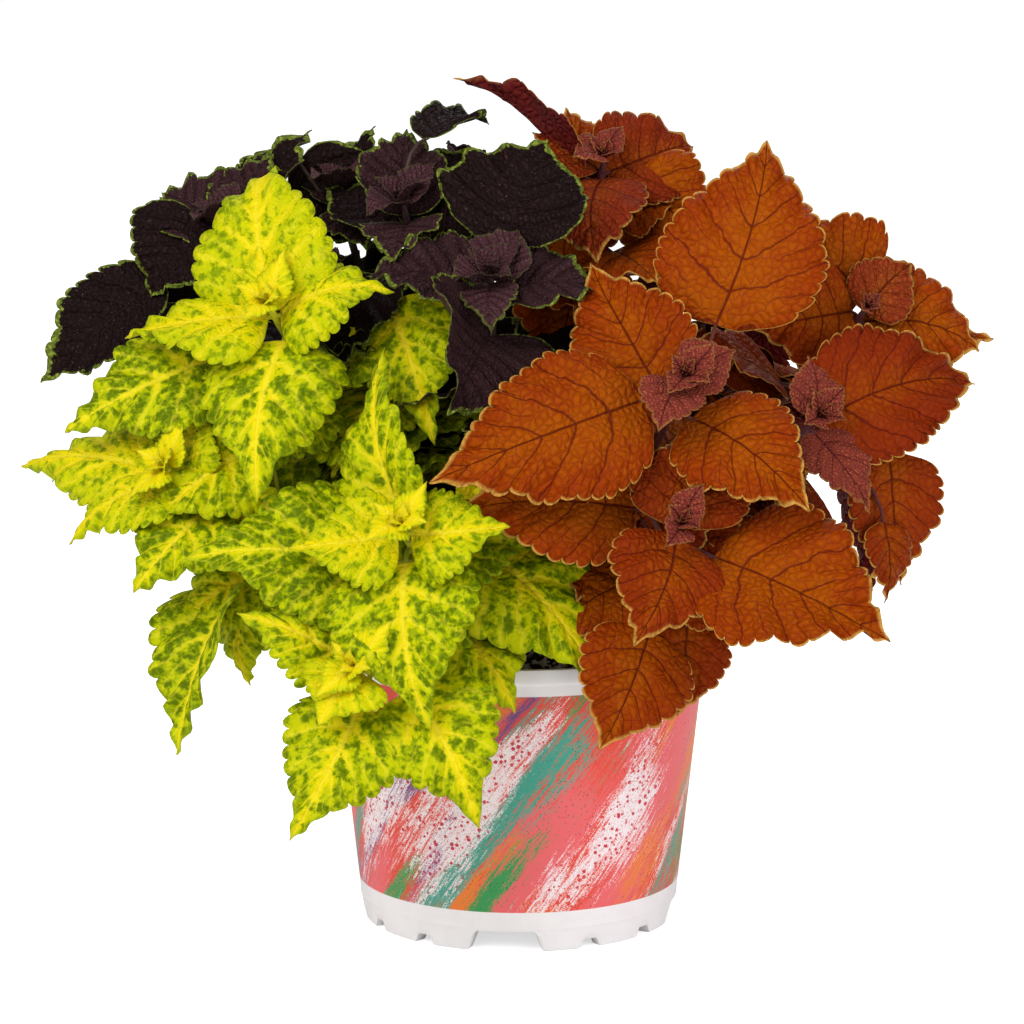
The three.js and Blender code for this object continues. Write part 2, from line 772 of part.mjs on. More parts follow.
// Every blade placed so far, with the shoot it belongs to.
const placed = [];

function isClear(leaf, owner, withOwn) {
  const grown = leafSolid(leaf, BLADE.clearance);
  if ([pot, soil, ...stems.filter((stem, i) => i !== owner)].some((solid) => meet(solid, grown))) {
    return false;
  }
  if (placed.some((other) => other.owner !== owner && meet(other.solid, grown))) {
    return false;
  }
  if (!withOwn) {
    return true;
  }
  const blade = leafSolid(leaf, 0, true);
  return !placed.some((other) => other.owner === owner && meet(other.blade, blade));
}

function settle(leaf, owner) {
  for (const withOwn of [true, false]) {
    for (const yaw of YAWS) {
      for (const pitch of PITCHES) {
        const turned = swung(leaf, pitch, yaw);
        if (isClear(turned, owner, withOwn)) {
          return turned;
        }
      }
    }
  }
  return null;
}

shoots.forEach((shoot, owner) => {
  shoot.solid = stems[owner];
  shoot.leaves.forEach((leaf, i) => {
    const found = settle(leaf, owner);
    if (!found) {
      throw new Error(`leaf ${i} of ${shoot.name} finds no room`);
    }
    const solid = leafSolid(found);
    placed.push({ owner, solid, blade: leafSolid(found, 0, true) });
    shoot.solid = shoot.solid.add(solid);
  });
});

const model = new THREE.Group();

function addNode(name, solid, color, roughness) {
  const material = new THREE.MeshStandardMaterial({ color, roughness, metalness: 0 });
  const mesh = new THREE.Mesh(toGeometry(solid), material);
  mesh.name = name;
  model.add(mesh);
}

addNode('pot', pot, POT.color, POT.roughness);
addNode('soil', soil, SOIL.color, SOIL.roughness);
for (const shoot of shoots) {
  addNode(shoot.name, shoot.solid, KINDS[shoot.kind].color, KINDS[shoot.kind].roughness);
}

// The origin goes under the middle of the whole plant.
const middle = new THREE.Box3().setFromObject(model).getCenter(new THREE.Vector3());
model.children.forEach((mesh) => mesh.position.set(-middle.x, -middle.y, 0));

const root = new THREE.Group();
root.add(model);

export default root;
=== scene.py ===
"""A trio of coleus in its nursery pot: leaves, stems, potting mix and a printed pot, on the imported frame."""
import math

import bmesh
import bpy
import numpy as np
from bpy.props import FloatProperty, FloatVectorProperty, PointerProperty
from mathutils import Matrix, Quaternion, Vector, kdtree, noise


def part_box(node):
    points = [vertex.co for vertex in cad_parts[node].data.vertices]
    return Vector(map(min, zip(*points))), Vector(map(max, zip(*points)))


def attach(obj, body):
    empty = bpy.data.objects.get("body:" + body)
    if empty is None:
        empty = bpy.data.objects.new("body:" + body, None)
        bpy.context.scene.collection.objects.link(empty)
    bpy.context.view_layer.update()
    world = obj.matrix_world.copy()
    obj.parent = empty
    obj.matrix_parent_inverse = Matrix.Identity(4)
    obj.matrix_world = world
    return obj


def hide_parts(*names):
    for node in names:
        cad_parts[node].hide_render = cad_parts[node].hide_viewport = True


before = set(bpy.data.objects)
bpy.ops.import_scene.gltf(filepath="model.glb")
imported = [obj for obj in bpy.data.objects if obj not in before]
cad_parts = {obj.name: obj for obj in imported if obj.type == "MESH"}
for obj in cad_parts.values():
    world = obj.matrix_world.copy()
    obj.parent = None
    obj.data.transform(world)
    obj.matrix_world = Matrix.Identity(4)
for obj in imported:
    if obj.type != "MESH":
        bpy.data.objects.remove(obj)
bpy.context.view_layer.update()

bl_info = {
    "name": "Coleus trio in a pot",
    "version": (1, 0, 0),
    "blender": (4, 5, 0),
    "location": "3D View > Sidebar > Coleus",
    "description": "Makes a pot of three coleus leaf by leaf, with its potting mix and a plain studio",
    "category": "Add Mesh",
}

MM = 0.001
ROOT_BODY = "root"
UP = np.array([0.0, 0.0, 1.0])
POT_AXIS = sum(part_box("pot"), Vector()) / 2 / MM
POT_AXIS_POINT = Vector((POT_AXIS.x, POT_AXIS.y, 0)) * MM

# ---- How the plants grow (millimetres from the pot's axis) -------------------------------------------

# Where the plant is seen from, how high the camera aims, and its lens.
VIEWPOINT = np.array([-3.0, -1960.0, 536.0])
CAMERA_TARGET = 181
CAMERA_LENS = 159.1

# A leaf of the frame may have swung about its root to clear the others. These are the turns it may have, in
# degrees, in the order that they were tried, and half the width of its tip. Its finer leaf goes back to where
# it is drawn if that is not farther than this.
PITCHES = (0, 5, -5, 10, -10, 15, -15, 20, -20, 26, -26, 32, -32, 40, -40)
YAWS = (0, 7, -7, 14, -14, 21, -21)
HALF_TIP = 0.45
FARTHEST_BACK = 30
# How near a turned tip must come to count as found, and how far off it may end without a line printed.
EXACT_MISS = 0.02
WORTH_A_WORD = 0.1

# How far a tip may stand from its growing tip in depth: a share of their distance as seen, and an allowance.
DEPTH_SHARE = 0.8
DEPTH_ALLOWANCE = 8
# How far a drawn base lies in depth from its root to its tip.
BASE_DEPTH_SHARE = 0.25

# How high the soil is, how deep a stem stands in it, how far it rises before it bends, and how wide it bends
# as a share of the distance left.
SOIL_TOP = 112
STEM_DEPTH = 30
STEM_RISE = 8
STEM_BEND = 0.38

# Pairs down a stem: how far below its tip each grows, its petiole, and how far its leaf tips hang.
PAIRS = ((4, 4, -1), (9, 9, 7), (22, 16, 16), (40, 24, 26))

# Name, growing tip [across, up, toward], the way it grows, its stem's foot, and its leaves: tip [across, up],
# width, pair, and what departs from the rule. Across and up are as seen on the upright plane through the
# pot's axis, and toward is how far in front of it a point lies. A leaf may also have: base, where its blade
# begins; ends and depth, where its tip goes back to and how far toward; face, the way it faces; roll, its
# turn about its midrib in degrees; bend, how much its tip hangs; and its own age, fold and heart.
DRAWN_SHOOTS = (
    ("lime_stem_1", (-110, 274, 62), (-0.3, -0.6, 0.74), (-34, -12), (
        ((-113, 337), 58, 1, {"bend": 2.2, "ends": (-110, 343)}),
        ((-115, 186), 56, 2, {"base": (-103, 257), "toward": 98}),
        ((-172, 258), 46, 1, {}),
        ((-55, 280), 42, 1, {}),
        ((-200, 218), 50, 3, {"base": (-134, 250)}),
        ((-113, 300), 18, 0, {}),
        ((-138, 206), 44, 3, {"toward": 62}),
    )),
    ("lime_stem_3", (-52, 176, 122), (-0.15, -0.72, 0.68), (-22, -44), (
        ((-59, 254), 42, 2, {"fold": 0.7, "roll": -36}),
        ((-40, 83), 56, 2, {"base": (-50, 158), "toward": 146, "age": 0.72}),
        ((-147, 161), 64, 3, {"toward": 104}),
        ((-102, 165), 38, 1, {}),
        ((-4, 175), 38, 1, {}),
    )),
    ("lime_stem_4", (-73, 112, 138), (-0.3, -0.8, 0.52), (-44, -30), (
        ((-102, 32), 50, 2, {"base": (-70, 94), "toward": 150}),
        ((-18, 38), 50, 2, {"base": (-48, 101), "toward": 146}),
        ((-125, 135), 36, 2, {"toward": 122}),
        ((-89, 85), 36, 0, {}),
    )),
    ("lime_stem_2", (-155, 201, 66), (-0.55, -0.6, 0.58), (-50, -8), (
        ((-219, 201), 44, 1, {}),
        ((-199, 168), 40, 1, {}),
        ((-171, 146), 50, 2, {"base": (-134, 186), "toward": 90, "face": (-0.3, -0.85, 0.4)}),
        ((-136, 229), 38, 1, {}),
    )),
    ("lime_stem_6", (-20, 186, 76), (0.1, -0.7, 0.7), (-4, -50), (
        ((37, 101), 64, 2, {"base": (-20, 166), "toward": 102}),
        ((0, 93), 54, 2, {"base": (-30, 136), "toward": 112}),
        ((48, 136), 34, 3, {"toward": 84}),
        ((-50, 176), 46, 2, {"toward": 82}),
    )),
    ("lime_stem_5", (-122, 168, 72), (-0.5, -0.6, 0.62), (-56, -26), (
        (
            (-149, 74), 46, 3,
            {"base": (-124, 147), "toward": 100, "ends": (-151, 71), "fold": 0.7, "roll": 18},
        ),
        ((-112, 198), 50, 2, {"toward": 74}),
        ((-121, 103), 32, 2, {"base": (-120, 148), "toward": 88}),
        ((-152, 130), 40, 2, {"toward": 60}),
        ((-76, 122), 48, 3, {"toward": 92}),
    )),
    ("lime_stem_7", (-62, 262, 26), (-0.1, -0.5, 0.86), (-20, -20), (
        ((-36, 211), 46, 2, {"base": (-56, 274), "toward": 72, "face": (-0.2, -0.9, 0.3)}),
        ((-82, 196), 48, 2, {"toward": 54}),
    )),
    ("dark_stem_1", (-12, 286, 66), (0, -0.58, 0.81), (-8, -22), (
        ((12, 345), 62, 2, {"base": (-4, 300), "toward": 26}),
        ((-29, 224), 69, 2, {"base": (-12, 260), "roll": -44, "fold": 0.3, "heart": 0.22, "age": 0.36}),
        ((-67, 285), 40, 1, {}),
        ((40, 279), 36, 1, {}),
        ((0, 306), 26, 0, {}),
        ((-12, 262), 22, 0, {}),
    )),
    ("dark_stem_2", (-50, 318, 22), (-0.1, -0.4, 0.91), (-16, 2), (
        ((-49, 351), 36, 1, {}),
        ((-57, 291), 32, 1, {}),
        ((-21, 342), 34, 2, {}),
        ((-84, 325), 34, 2, {}),
        ((-20, 304), 38, 2, {"face": (0, -0.7, 0.7)}),
        ((-13, 354), 24, 2, {"base": (-41, 346), "toward": -34}),
        ((-80, 239), 40, 3, {"base": (-60, 279), "toward": 34}),
    )),
    ("dark_stem_3", (-128, 311, 4), (-0.45, -0.25, 0.86), (-46, 16), (
        ((-209, 238), 40, 3, {"base": (-158, 284), "toward": 6, "face": (-0.3, -0.8, 0.5)}),
        ((-162, 276), 44, 2, {"base": (-143, 311), "face": (-0.3, -0.8, 0.5)}),
        ((-92, 351), 36, 2, {"toward": -34}),
        ((-156, 322), 40, 1, {}),
        ((-106, 339), 30, 1, {}),
        ((-202, 262), 40, 3, {"toward": -34}),
    )),
    ("dark_stem_4", (-78, 325, -14), (-0.15, -0.2, 0.96), (-24, 24), (
        ((-98, 339), 22, 1, {}),
        ((-66, 297), 26, 1, {}),
        ((-63, 352), 24, 2, {}),
        ((-118, 318), 26, 3, {"toward": -24}),
    )),
    ("orange_stem_1", (73, 242, 108), (0.15, -0.72, 0.68), (30, -34), (
        ((108, 346), 66, 3, {"base": (86, 264)}),
        ((-39, 195), 60, 2, {"base": (54, 230), "toward": 122}),
        ((27, 280), 48, 2, {"roll": -25, "ends": (30, 291)}),
        ((128, 181), 48, 2, {}),
        ((95, 253), 24, 0, {}),
        ((62, 217), 25, 0, {}),
        ((74, 196), 48, 3, {"toward": 92}),
    )),
    ("orange_stem_2", (72, 176, 124), (0.15, -0.8, 0.58), (44, -44), (
        ((164, 122), 74, 2, {"base": (86, 161), "toward": 142}),
        ((51, 122), 46, 1, {"age": 0.42}),
        ((80, 219), 46, 1, {}),
        ((36, 73), 46, 3, {"base": (58, 128), "toward": 118}),
        ((70, 89), 36, 3, {"base": (76, 130), "toward": 104}),
        ((40, 208), 44, 3, {"toward": 88}),
        ((58, 152), 50, 3, {"toward": 84}),
        ((98, 128), 30, 3, {"toward": 92}),
        ((-29, 182), 50, 3, {"base": (48, 182), "toward": 112, "depth": 100}),
    )),
    ("orange_stem_3", (132, 224, 82), (0.45, -0.65, 0.61), (54, -26), (
        ((201, 239), 54, 1, {"age": 0.6}),
        ((156, 181), 30, 1, {"age": 0.08}),
        ((127, 251), 25, 0, {}),
        ((108, 206), 44, 2, {"toward": 78}),
        ((168, 148), 46, 3, {"base": (163, 206), "toward": 60}),
        ((162, 140), 26, 2, {"base": (156, 172), "toward": 72}),
    )),
    ("orange_stem_6", (152, 272, 34), (0.4, -0.55, 0.73), (52, 4), (
        ((202, 252), 48, 1, {"face": (0.2, -0.8, 0.55), "age": 0.6}),
        ((112, 306), 54, 2, {"base": (150, 276), "toward": 12, "face": (0.1, -0.9, 0.45)}),
        ((102, 262), 54, 2, {"base": (146, 270), "toward": 44, "face": (0.1, -0.9, 0.4)}),
        ((140, 228), 46, 2, {"face": (0.3, -0.9, 0.3)}),
        ((171, 291), 28, 0, {"age": 0.3}),
        ((208, 257), 40, 3, {"toward": -2}),
    )),
    ("orange_stem_4", (37, 338, 4), (0.08, -0.38, 0.92), (12, 2), (
        ((-26, 374), 44, 2, {"toward": -24, "fold": 0.4, "roll": 52}),
        ((76, 344), 46, 1, {"face": (0.1, -0.7, 0.7)}),
        ((6, 349), 36, 1, {}),
        ((70, 318), 40, 2, {"face": (0.1, -0.7, 0.7)}),
        ((34, 292), 42, 1, {"face": (0, -0.8, 0.6)}),
        ((60, 284), 46, 3, {"face": (0.1, -0.8, 0.6)}),
        ((20, 360), 26, 2, {"toward": -30}),
    )),
)
# Leaves that fill in between the others, by shoot, in the same form. The frame has no solid for them.
FILLING_LEAVES = {
    "dark_stem_4": (((-64, 300), 42, 2, {"base": (-95, 336), "toward": -30, "face": (-0.1, -0.8, 0.6)}),),
    "dark_stem_3": (((-160, 262), 44, 3, {"base": (-126, 300), "toward": -16, "face": (-0.2, -0.8, 0.55)}),),
    "lime_stem_5": (
        ((-150, 182), 44, 3, {"base": (-104, 214), "toward": 34, "face": (-0.2, -0.8, 0.5)}),
        ((-96, 126), 46, 3, {"base": (-84, 172), "toward": 66, "face": (-0.1, -0.85, 0.5)}),
        ((-162, 176), 44, 2, {"base": (-120, 208), "toward": 72, "face": (-0.3, -0.8, 0.5)}),
    ),
    "lime_stem_7": (
        ((-96, 232), 46, 3, {"base": (-56, 262), "toward": -6, "face": (-0.1, -0.8, 0.5)}),
        ((-30, 194), 50, 3, {"base": (-52, 238), "toward": 36, "face": (0, -0.9, 0.4)}),
    ),
    "lime_stem_6": (
        ((-34, 112), 44, 3, {"base": (-24, 160), "toward": 96, "face": (0, -0.9, 0.4)}),
        ((22, 122), 40, 3, {"base": (-2, 170), "toward": 80, "face": (0, -0.9, 0.4)}),
    ),
    "orange_stem_4": (
        ((16, 276), 46, 3, {"base": (22, 330), "toward": 4, "face": (0, -0.85, 0.5)}),
        ((14, 238), 50, 3, {"base": (26, 296), "toward": 22, "face": (0, -0.9, 0.4)}),
        ((84, 300), 46, 3, {"base": (50, 330), "toward": 6, "face": (0.1, -0.85, 0.5)}),
    ),
}
# Shoots on the far side: name, growing tip, the way it grows, its stem's foot.
FAR_SHOOTS = (
    ("dark_stem_5", (-20, 62, 322), (0, 0.35, 0.94), (-4, 34)),
    ("dark_stem_6", (-92, 108, 272), (-0.4, 0.6, 0.7), (-30, 44)),
    ("dark_stem_7", (-150, 78, 232), (-0.7, 0.4, 0.6), (-54, 38)),
    ("dark_stem_8", (-72, 168, 214), (-0.3, 0.8, 0.5), (-16, 56)),
    ("orange_stem_5", (158, 36, 222), (0.8, 0.1, 0.6), (62, 22)),
    ("orange_stem_7", (98, 88, 280), (0.4, 0.55, 0.75), (28, 26)),
    ("orange_stem_8", (22, 146, 250), (0.1, 0.75, 0.66), (10, 56)),
    ("orange_stem_9", (112, 156, 212), (0.5, 0.7, 0.5), (42, 48)),
)
# Their leaves, from the top: pair, length and width. Each pair stands crosswise to the one above.
FAR_PAIRS = ((1, 44, 34), (2, 64, 50), (3, 70, 54))
CROSSWISE = 90
FAR_SEED = 41

# Older leaves low on each stem, which close the plant from inside: how far below the growing tip, length
# and width. Each pair turns on from the one above, and leaves rise and face up by these shares. They shrink
# until they stay within a share of the round of the foliage and clear of the pot, or are left out.
INNER_PAIRS = ((54, 50, 38), (70, 56, 42), (88, 54, 40), (106, 48, 36))
INNER_TURN = 72
INNER_RISE = 0.12
INNER_FACING = 0.6
INNER_PETIOLE = 7
INNER_SHARE = 0.86
INNER_SHORTEST = 26
INNER_SHRINK = 0.9
FOLIAGE_MIDDLE = np.array([0.0, 0.0, 212.0])
FOLIAGE_ROUND = np.array([186.0, 152.0, 118.0])
POT_CLEAR = 100
RIM_CLEAR = 24

# Young leaves round each growing tip: length, width, how steeply they stand, and their turn; how far below
# the tip they grow, their petiole, and their fold.
YOUNG_PAIRS = ((19, 14, 24, 45), (13, 10, 42, 135), (8.5, 6, 60, 45), (5, 3.4, 76, 135))
YOUNG_BELOW = 0.6
YOUNG_PETIOLE = 1.2
YOUNG_FOLD = 0.3
# Growing tips that are smaller than the rest, as a share of the usual size.
YOUNG_SHARES = {"orange_stem_6": 0.6, "lime_stem_7": 0.8}

# How near its root a blade begins, as a share of its petiole, and its age, both by pair.
PETIOLE_SHARES = (0.3, 0.3, 0.6, 0.75)
AGES = (0.05, 0.3, 0.55, 0.85)

# What varies from leaf to leaf, from the least to the most. Turns, droops, rises and rolls are in degrees;
# age is added to a leaf's own; waves counts the waves of an edge; bend, sway and tip_sway are shares of the
# length and curl of half the width; twist is a slope; the rest are factors.
VARIES = {
    "far_turn": (-14, 14), "far_droop": (13, 27), "far_size": (0.9, 1.1),
    "inner_turn": (0, 40), "inner_droop": (4, 20), "inner_size": (0.9, 1.15),
    "young_turn": (-15, 15), "young_rise": (-9, 9), "young_size": (0.85, 1.15),
    "age": (0, 0.15), "roll": (-10, 10), "tooth": (0.75, 1.2), "recurve": (0.4, 1.6), "waves": (2.4, 4.6),
    "curl": (-0.153, 0.187), "twist": (-0.25, 0.25), "bend": (-0.1, 0.4), "sway": (-0.08, 0.08),
    "tip_sway": (-0.25, 0.25),
}

# Each kind's blade. The outline gives shares of its length, and half its width there as a share of the
# largest. Lengths are millimetres and the rest are shares:
# - tooth_round is 0.5 for a half round, more for a point; tooth_lean is how far teeth point forward;
#   tooth_rim is how much of a tooth its margin's colour fills; bare_base and bare_tip have no teeth;
# - fold lifts both halves, arch bows the midrib up, recurve turns the edge down, ruffle waves it;
# - laterals counts the side veins and vein_lean slants them, puff swells the blade between them, crease sinks
#   the midrib, heart draws the base out into lobes;
# - young is the size of the young leaves.
BLADES = {
    "lime": {
        "outline": (
            (0, 0.012, 0.03, 0.07, 0.13, 0.2, 0.3, 0.42, 0.54, 0.64, 0.72, 0.82, 0.91, 1),
            (0, 0.28, 0.52, 0.78, 0.94, 1.0, 0.98, 0.87, 0.69, 0.50, 0.35, 0.22, 0.13, 0),
        ),
        "tooth_pitch": 9.4, "tooth_depth": 3.2, "tooth_lean": 0.6, "tooth_round": 0.52, "tooth_rim": 0.0,
        "bare_base": 0.05, "bare_tip": 0.27, "fold": 0.14, "arch": 0.10, "recurve": 0.28, "ruffle": 0.1,
        "laterals": 6, "vein_lean": 0.26, "puff": 1.9, "crease": 0.15, "heart": 0.02, "young": 1.1,
    },
    "dark": {
        "outline": (
            (0, 0.02, 0.06, 0.12, 0.20, 0.32, 0.44, 0.58, 0.70, 0.82, 0.92, 1),
            (0, 0.24, 0.50, 0.74, 0.91, 1.0, 0.96, 0.78, 0.54, 0.28, 0.10, 0),
        ),
        "tooth_pitch": 7.0, "tooth_depth": 2.6, "tooth_lean": 0.6, "tooth_round": 0.55, "tooth_rim": 0.12,
        "bare_base": 0.06, "bare_tip": 0.06, "fold": 0.14, "arch": 0.09, "recurve": -0.10, "ruffle": 0.14,
        "laterals": 8, "vein_lean": 0.24, "puff": 1.6, "crease": 0.6, "heart": 0.07, "young": 1.15,
    },
    "orange": {
        "outline": (
            (0, 0.02, 0.06, 0.12, 0.20, 0.32, 0.44, 0.58, 0.70, 0.80, 0.88, 0.95, 1),
            (0, 0.26, 0.52, 0.78, 0.94, 1.0, 0.93, 0.74, 0.51, 0.31, 0.16, 0.07, 0),
        ),
        "tooth_pitch": 7.2, "tooth_depth": 2.9, "tooth_lean": 0.4, "tooth_round": 0.5, "tooth_rim": 0.0,
        "bare_base": 0.09, "bare_tip": 0.1, "fold": 0.15, "arch": 0.08, "recurve": 0.14, "ruffle": 0.1,
        "laterals": 6, "vein_lean": 0.27, "puff": 1.7, "crease": 0.6, "heart": 0.04, "young": 0.9,
    },
}
# A full leaf's length; shorter ones are finer in all their details. Blades are made wider than they are seen
# by WIDENING, because folds and waves narrow them.
FULL_LENGTH = 48
WIDENING = 1.05
# Half the thickness of a full blade, the height of the ridge under its midrib, half that ridge's width, and
# the least half width that its tip has.
HALF_THICKNESS = 0.24
RIDGE_HEIGHT = 0.75
RIDGE_HALF = 1.2
TIP_HALF = 0.16
# How finely blades are divided: where the rows of each tooth stand, the columns from midrib to edge, and the
# number of rows in the bare tip. Young leaves longer than YOUNG_GRID_LENGTH are not among the smallest.
GRIDS = {
    "large": ((0.0, 0.07, 0.24, 0.5, 0.74, 0.93), (0.0, 0.05, 0.2, 0.42, 0.66, 0.87, 1.0), 12),
    "inner": ((0.0, 0.3, 0.7), (0.0, 0.4, 0.85, 1.0), 8),
    "young": ((0.0, 0.12, 0.5, 0.88), (0.0, 0.16, 0.48, 0.8, 1.0), 10),
    "smallest": ((0.0, 0.5), (0.0, 0.5, 1.0), 6),
}
YOUNG_GRID_LENGTH = 10
FEWEST_TEETH = 7

# Stems: radius at the tip and how much thicker they grow over their first stretch, swell at each pair and
# how long it is, the radius in the soil, how much the end is rounded off, sides of the section, how near it
# comes to a square, and rings.
STEM_RADIUS = 1.35
STEM_GROWTH = 0.75
STEM_STRETCH = 60
NODE_SWELL = 0.22
NODE_LENGTH = 2.5
STEM_FOOT_RADIUS = 2.1
STEM_END = 0.6
STEM_SIDES = 12
STEM_SQUARENESS = 0.6
STEM_RINGS = 34

# Petioles: radius at the root and at the blade, how far they bow as a share of their length, how far they
# run on under the blade, rings and sides, and the shortest that is made.
PETIOLE_RADII = (1.35, 0.75)
PETIOLE_BOW = 0.45
PETIOLE_OVERLAP = 3
PETIOLE_RINGS = 7
PETIOLE_SIDES = 8
PETIOLE_SHORTEST = 1.5


# ---- Finding the leaves ------------------------------------------------------------------------------


def unit(vector):
    """A vector at length 1."""
    return vector / np.linalg.norm(vector)


def square_to(vector, along):
    """The part of a vector that is square to a unit vector, made a unit vector."""
    return unit(vector - along * (vector @ along))


def turned(start, goal, degrees):
    """The way from one unit vector so many degrees towards another that is square to it."""
    angle = math.radians(degrees)
    return start * math.cos(angle) + goal * math.sin(angle)


def seeded_draw(seed):
    """A function that gives the next number of a fixed random row, from 0 to 1."""
    state = seed

    def draw():
        nonlocal state
        state = (state * 1664525 + 1013904223) % 4294967296
        return state / 4294967296

    return draw


def vary(draw, name):
    """A random value of something that varies from leaf to leaf."""
    least, most = VARIES[name]
    return least + (most - least) * draw()


def on_sight_line(drawn, toward):
    """The point that is seen at a drawn place and lies so far in front of the upright plane."""
    start = np.array([drawn[0], 0.0, drawn[1]])
    return start + (VIEWPOINT - start) * (toward / -VIEWPOINT[1])


def tip_on_shoot(drawn, stem, sink, apex_toward):
    """A leaf's tip that is seen at a drawn place and hangs so far below its growing tip, along its stem."""
    start = np.array([drawn[0], 0.0, drawn[1]])
    along = VIEWPOINT - start
    share = (-sink - (start - stem.apex) @ stem.axis) / (along @ stem.axis)
    reach = math.hypot(drawn[0] - stem.apex[0], drawn[1] - stem.apex[2]) * DEPTH_SHARE + DEPTH_ALLOWANCE
    toward = max(apex_toward - reach, min(apex_toward + reach, share * -VIEWPOINT[1]))
    return on_sight_line(drawn, toward)


class Stem:
    """A stem's centre line: straight up out of the soil, then one bend to its growing tip."""

    def __init__(self, apex, axis, foot):
        self.apex, self.axis = apex, axis
        self.foot = np.array([*foot, SOIL_TOP - STEM_DEPTH], float)
        risen = np.array([*foot, SOIL_TOP + STEM_RISE], float)
        reach = STEM_BEND * np.linalg.norm(apex - risen)
        self.handles = np.array([risen, risen + UP * reach, apex - axis * reach, apex])
        self.steps = np.linspace(0, 1, 201)
        runs = np.linalg.norm(np.diff(self.bend(self.steps), axis=0), axis=1)
        self.lengths = np.concatenate([[0], np.cumsum(runs)])

    def bend(self, t):
        """Points of the bend, at shares of its parameter."""
        t = np.atleast_1d(t)[:, None]
        a, b, c, d = self.handles
        return (1 - t) ** 3 * a + 3 * (1 - t) ** 2 * t * b + 3 * (1 - t) * t**2 * c + t**3 * d

    def below_tip(self, below):
        """The point so far down the stem from its growing tip."""
        return self.bend(np.interp(self.lengths[-1] - below, self.lengths, self.steps))[0]


def new_leaf(root, base, tip, normal, width, age, nearer=1, **extras):
    """A leaf, with what it has of its own apart from its kind's blade. nearer is how near its root the blade
    begins, as a share of the petiole."""
    return {
        "root": root, "base": base, "tip": tip, "normal": normal, "width": width, "age": age,
        "nearer": nearer, **extras,
    }


def drawn_leaves(stem, apex_toward, rows):
    """The leaves that rows of DRAWN_SHOOTS or FILLING_LEAVES give."""
    for drawn, width, pair, extras in rows:
        own = {"age": AGES[pair], "ends": drawn, **extras}
        below, petiole, sink = PAIRS[pair]
        root = stem.below_tip(below)
        if "toward" in own:
            tip = on_sight_line(drawn, own.pop("toward"))
        else:
            tip = tip_on_shoot(drawn, stem, sink, apex_toward)
        if "base" in own:
            depth = -root[1] + (root[1] - tip[1]) * BASE_DEPTH_SHARE
            base, nearer = on_sight_line(own.pop("base"), depth), 1
        else:
            base, nearer = root + unit(tip - root) * petiole, PETIOLE_SHARES[pair]
        normal = np.array(own.pop("face", stem.axis), float)
        yield new_leaf(root, base, tip, normal, width, nearer=nearer, **own)


def far_leaves(stem, draw):
    """Pairs of leaves that stand crosswise down a shoot of the far side."""
    across = unit(np.cross(UP, stem.axis))
    over = np.cross(stem.axis, across)
    for level, (pair, length, width) in enumerate(FAR_PAIRS):
        below, petiole, _ = PAIRS[pair]
        root = stem.below_tip(below)
        for opposite in (0, 180):
            out = turned(across, over, level * CROSSWISE + opposite + vary(draw, "far_turn"))
            way = turned(out, -stem.axis, vary(draw, "far_droop"))
            size = vary(draw, "far_size")
            base = root + way * petiole
            tip = base + way * length * size
            yield new_leaf(root, base, tip, stem.axis, width * size, AGES[pair], PETIOLE_SHARES[pair])


def within_foliage(point):
    """Whether a point lies inside the foliage's round and clear of the pot."""
    off = (point - FOLIAGE_MIDDLE) / FOLIAGE_ROUND
    over_pot = point[2] > SOIL_TOP + RIM_CLEAR or math.hypot(point[0], point[1]) > POT_CLEAR
    return off @ off < INNER_SHARE**2 and over_pot


def inner_leaves(stem, draw):
    """Leaf pairs low on a stem, each as long as the foliage has room for."""
    for level, (below, length, width) in enumerate(INNER_PAIRS):
        if stem.lengths[-1] - below < 2 * STEM_RISE:
            break
        root = stem.below_tip(below)
        way_up = unit(stem.below_tip(below - 2) - root)
        across = square_to(np.array([1.0, 0.3, 0.0]), way_up)
        over = np.cross(way_up, across)
        for opposite in (0, 180):
            out = turned(across, over, level * INNER_TURN + opposite + vary(draw, "inner_turn"))
            way = turned(out, -way_up, vary(draw, "inner_droop")) + UP * INNER_RISE
            base = root + way * INNER_PETIOLE
            size = vary(draw, "inner_size")
            while length * size > INNER_SHORTEST and not within_foliage(base + way * length * size):
                size *= INNER_SHRINK
            if length * size <= INNER_SHORTEST:
                continue
            tip = base + way * length * size
            yield new_leaf(root, base, tip, unit(way_up + UP * INNER_FACING), width * size, 1.0)


def young_leaves(stem, kind, size_share, draw):
    """The cluster of small leaves round a growing tip, each with its grid."""
    across = square_to(np.array([1.0, 0.2, 0.0]), stem.axis)
    over = np.cross(stem.axis, across)
    scale = BLADES[kind]["young"] * size_share
    root = stem.apex - stem.axis * YOUNG_BELOW
    for length, width, steep, turn in YOUNG_PAIRS:
        for opposite in (0, 180):
            out = turned(across, over, turn + opposite + vary(draw, "young_turn"))
            rise = steep + vary(draw, "young_rise")
            way = turned(out, stem.axis, rise)
            face = turned(stem.axis, -out, rise)
            base = root + way * YOUNG_PETIOLE
            size = scale * vary(draw, "young_size")
            tip = base + way * length * size
            leaf = new_leaf(root, base, tip, face, width * size, 0.0, fold=YOUNG_FOLD)
            yield leaf, "young" if length > YOUNG_GRID_LENGTH else "smallest"


def swung(leaf, pitch, yaw):
    """The leaf turned about its root, as the frame's own leaves are turned to clear each other."""
    along = unit(leaf["tip"] - leaf["root"])
    normal = square_to(leaf["normal"], along)
    side = np.cross(along, normal)
    turn = Quaternion(normal, math.radians(yaw)) @ Quaternion(side, math.radians(pitch))
    turn = np.array(turn.to_matrix())
    placed = {name: leaf["root"] + turn @ (leaf[name] - leaf["root"]) for name in ("base", "tip")}
    return {**leaf, **placed, "normal": turn @ normal}


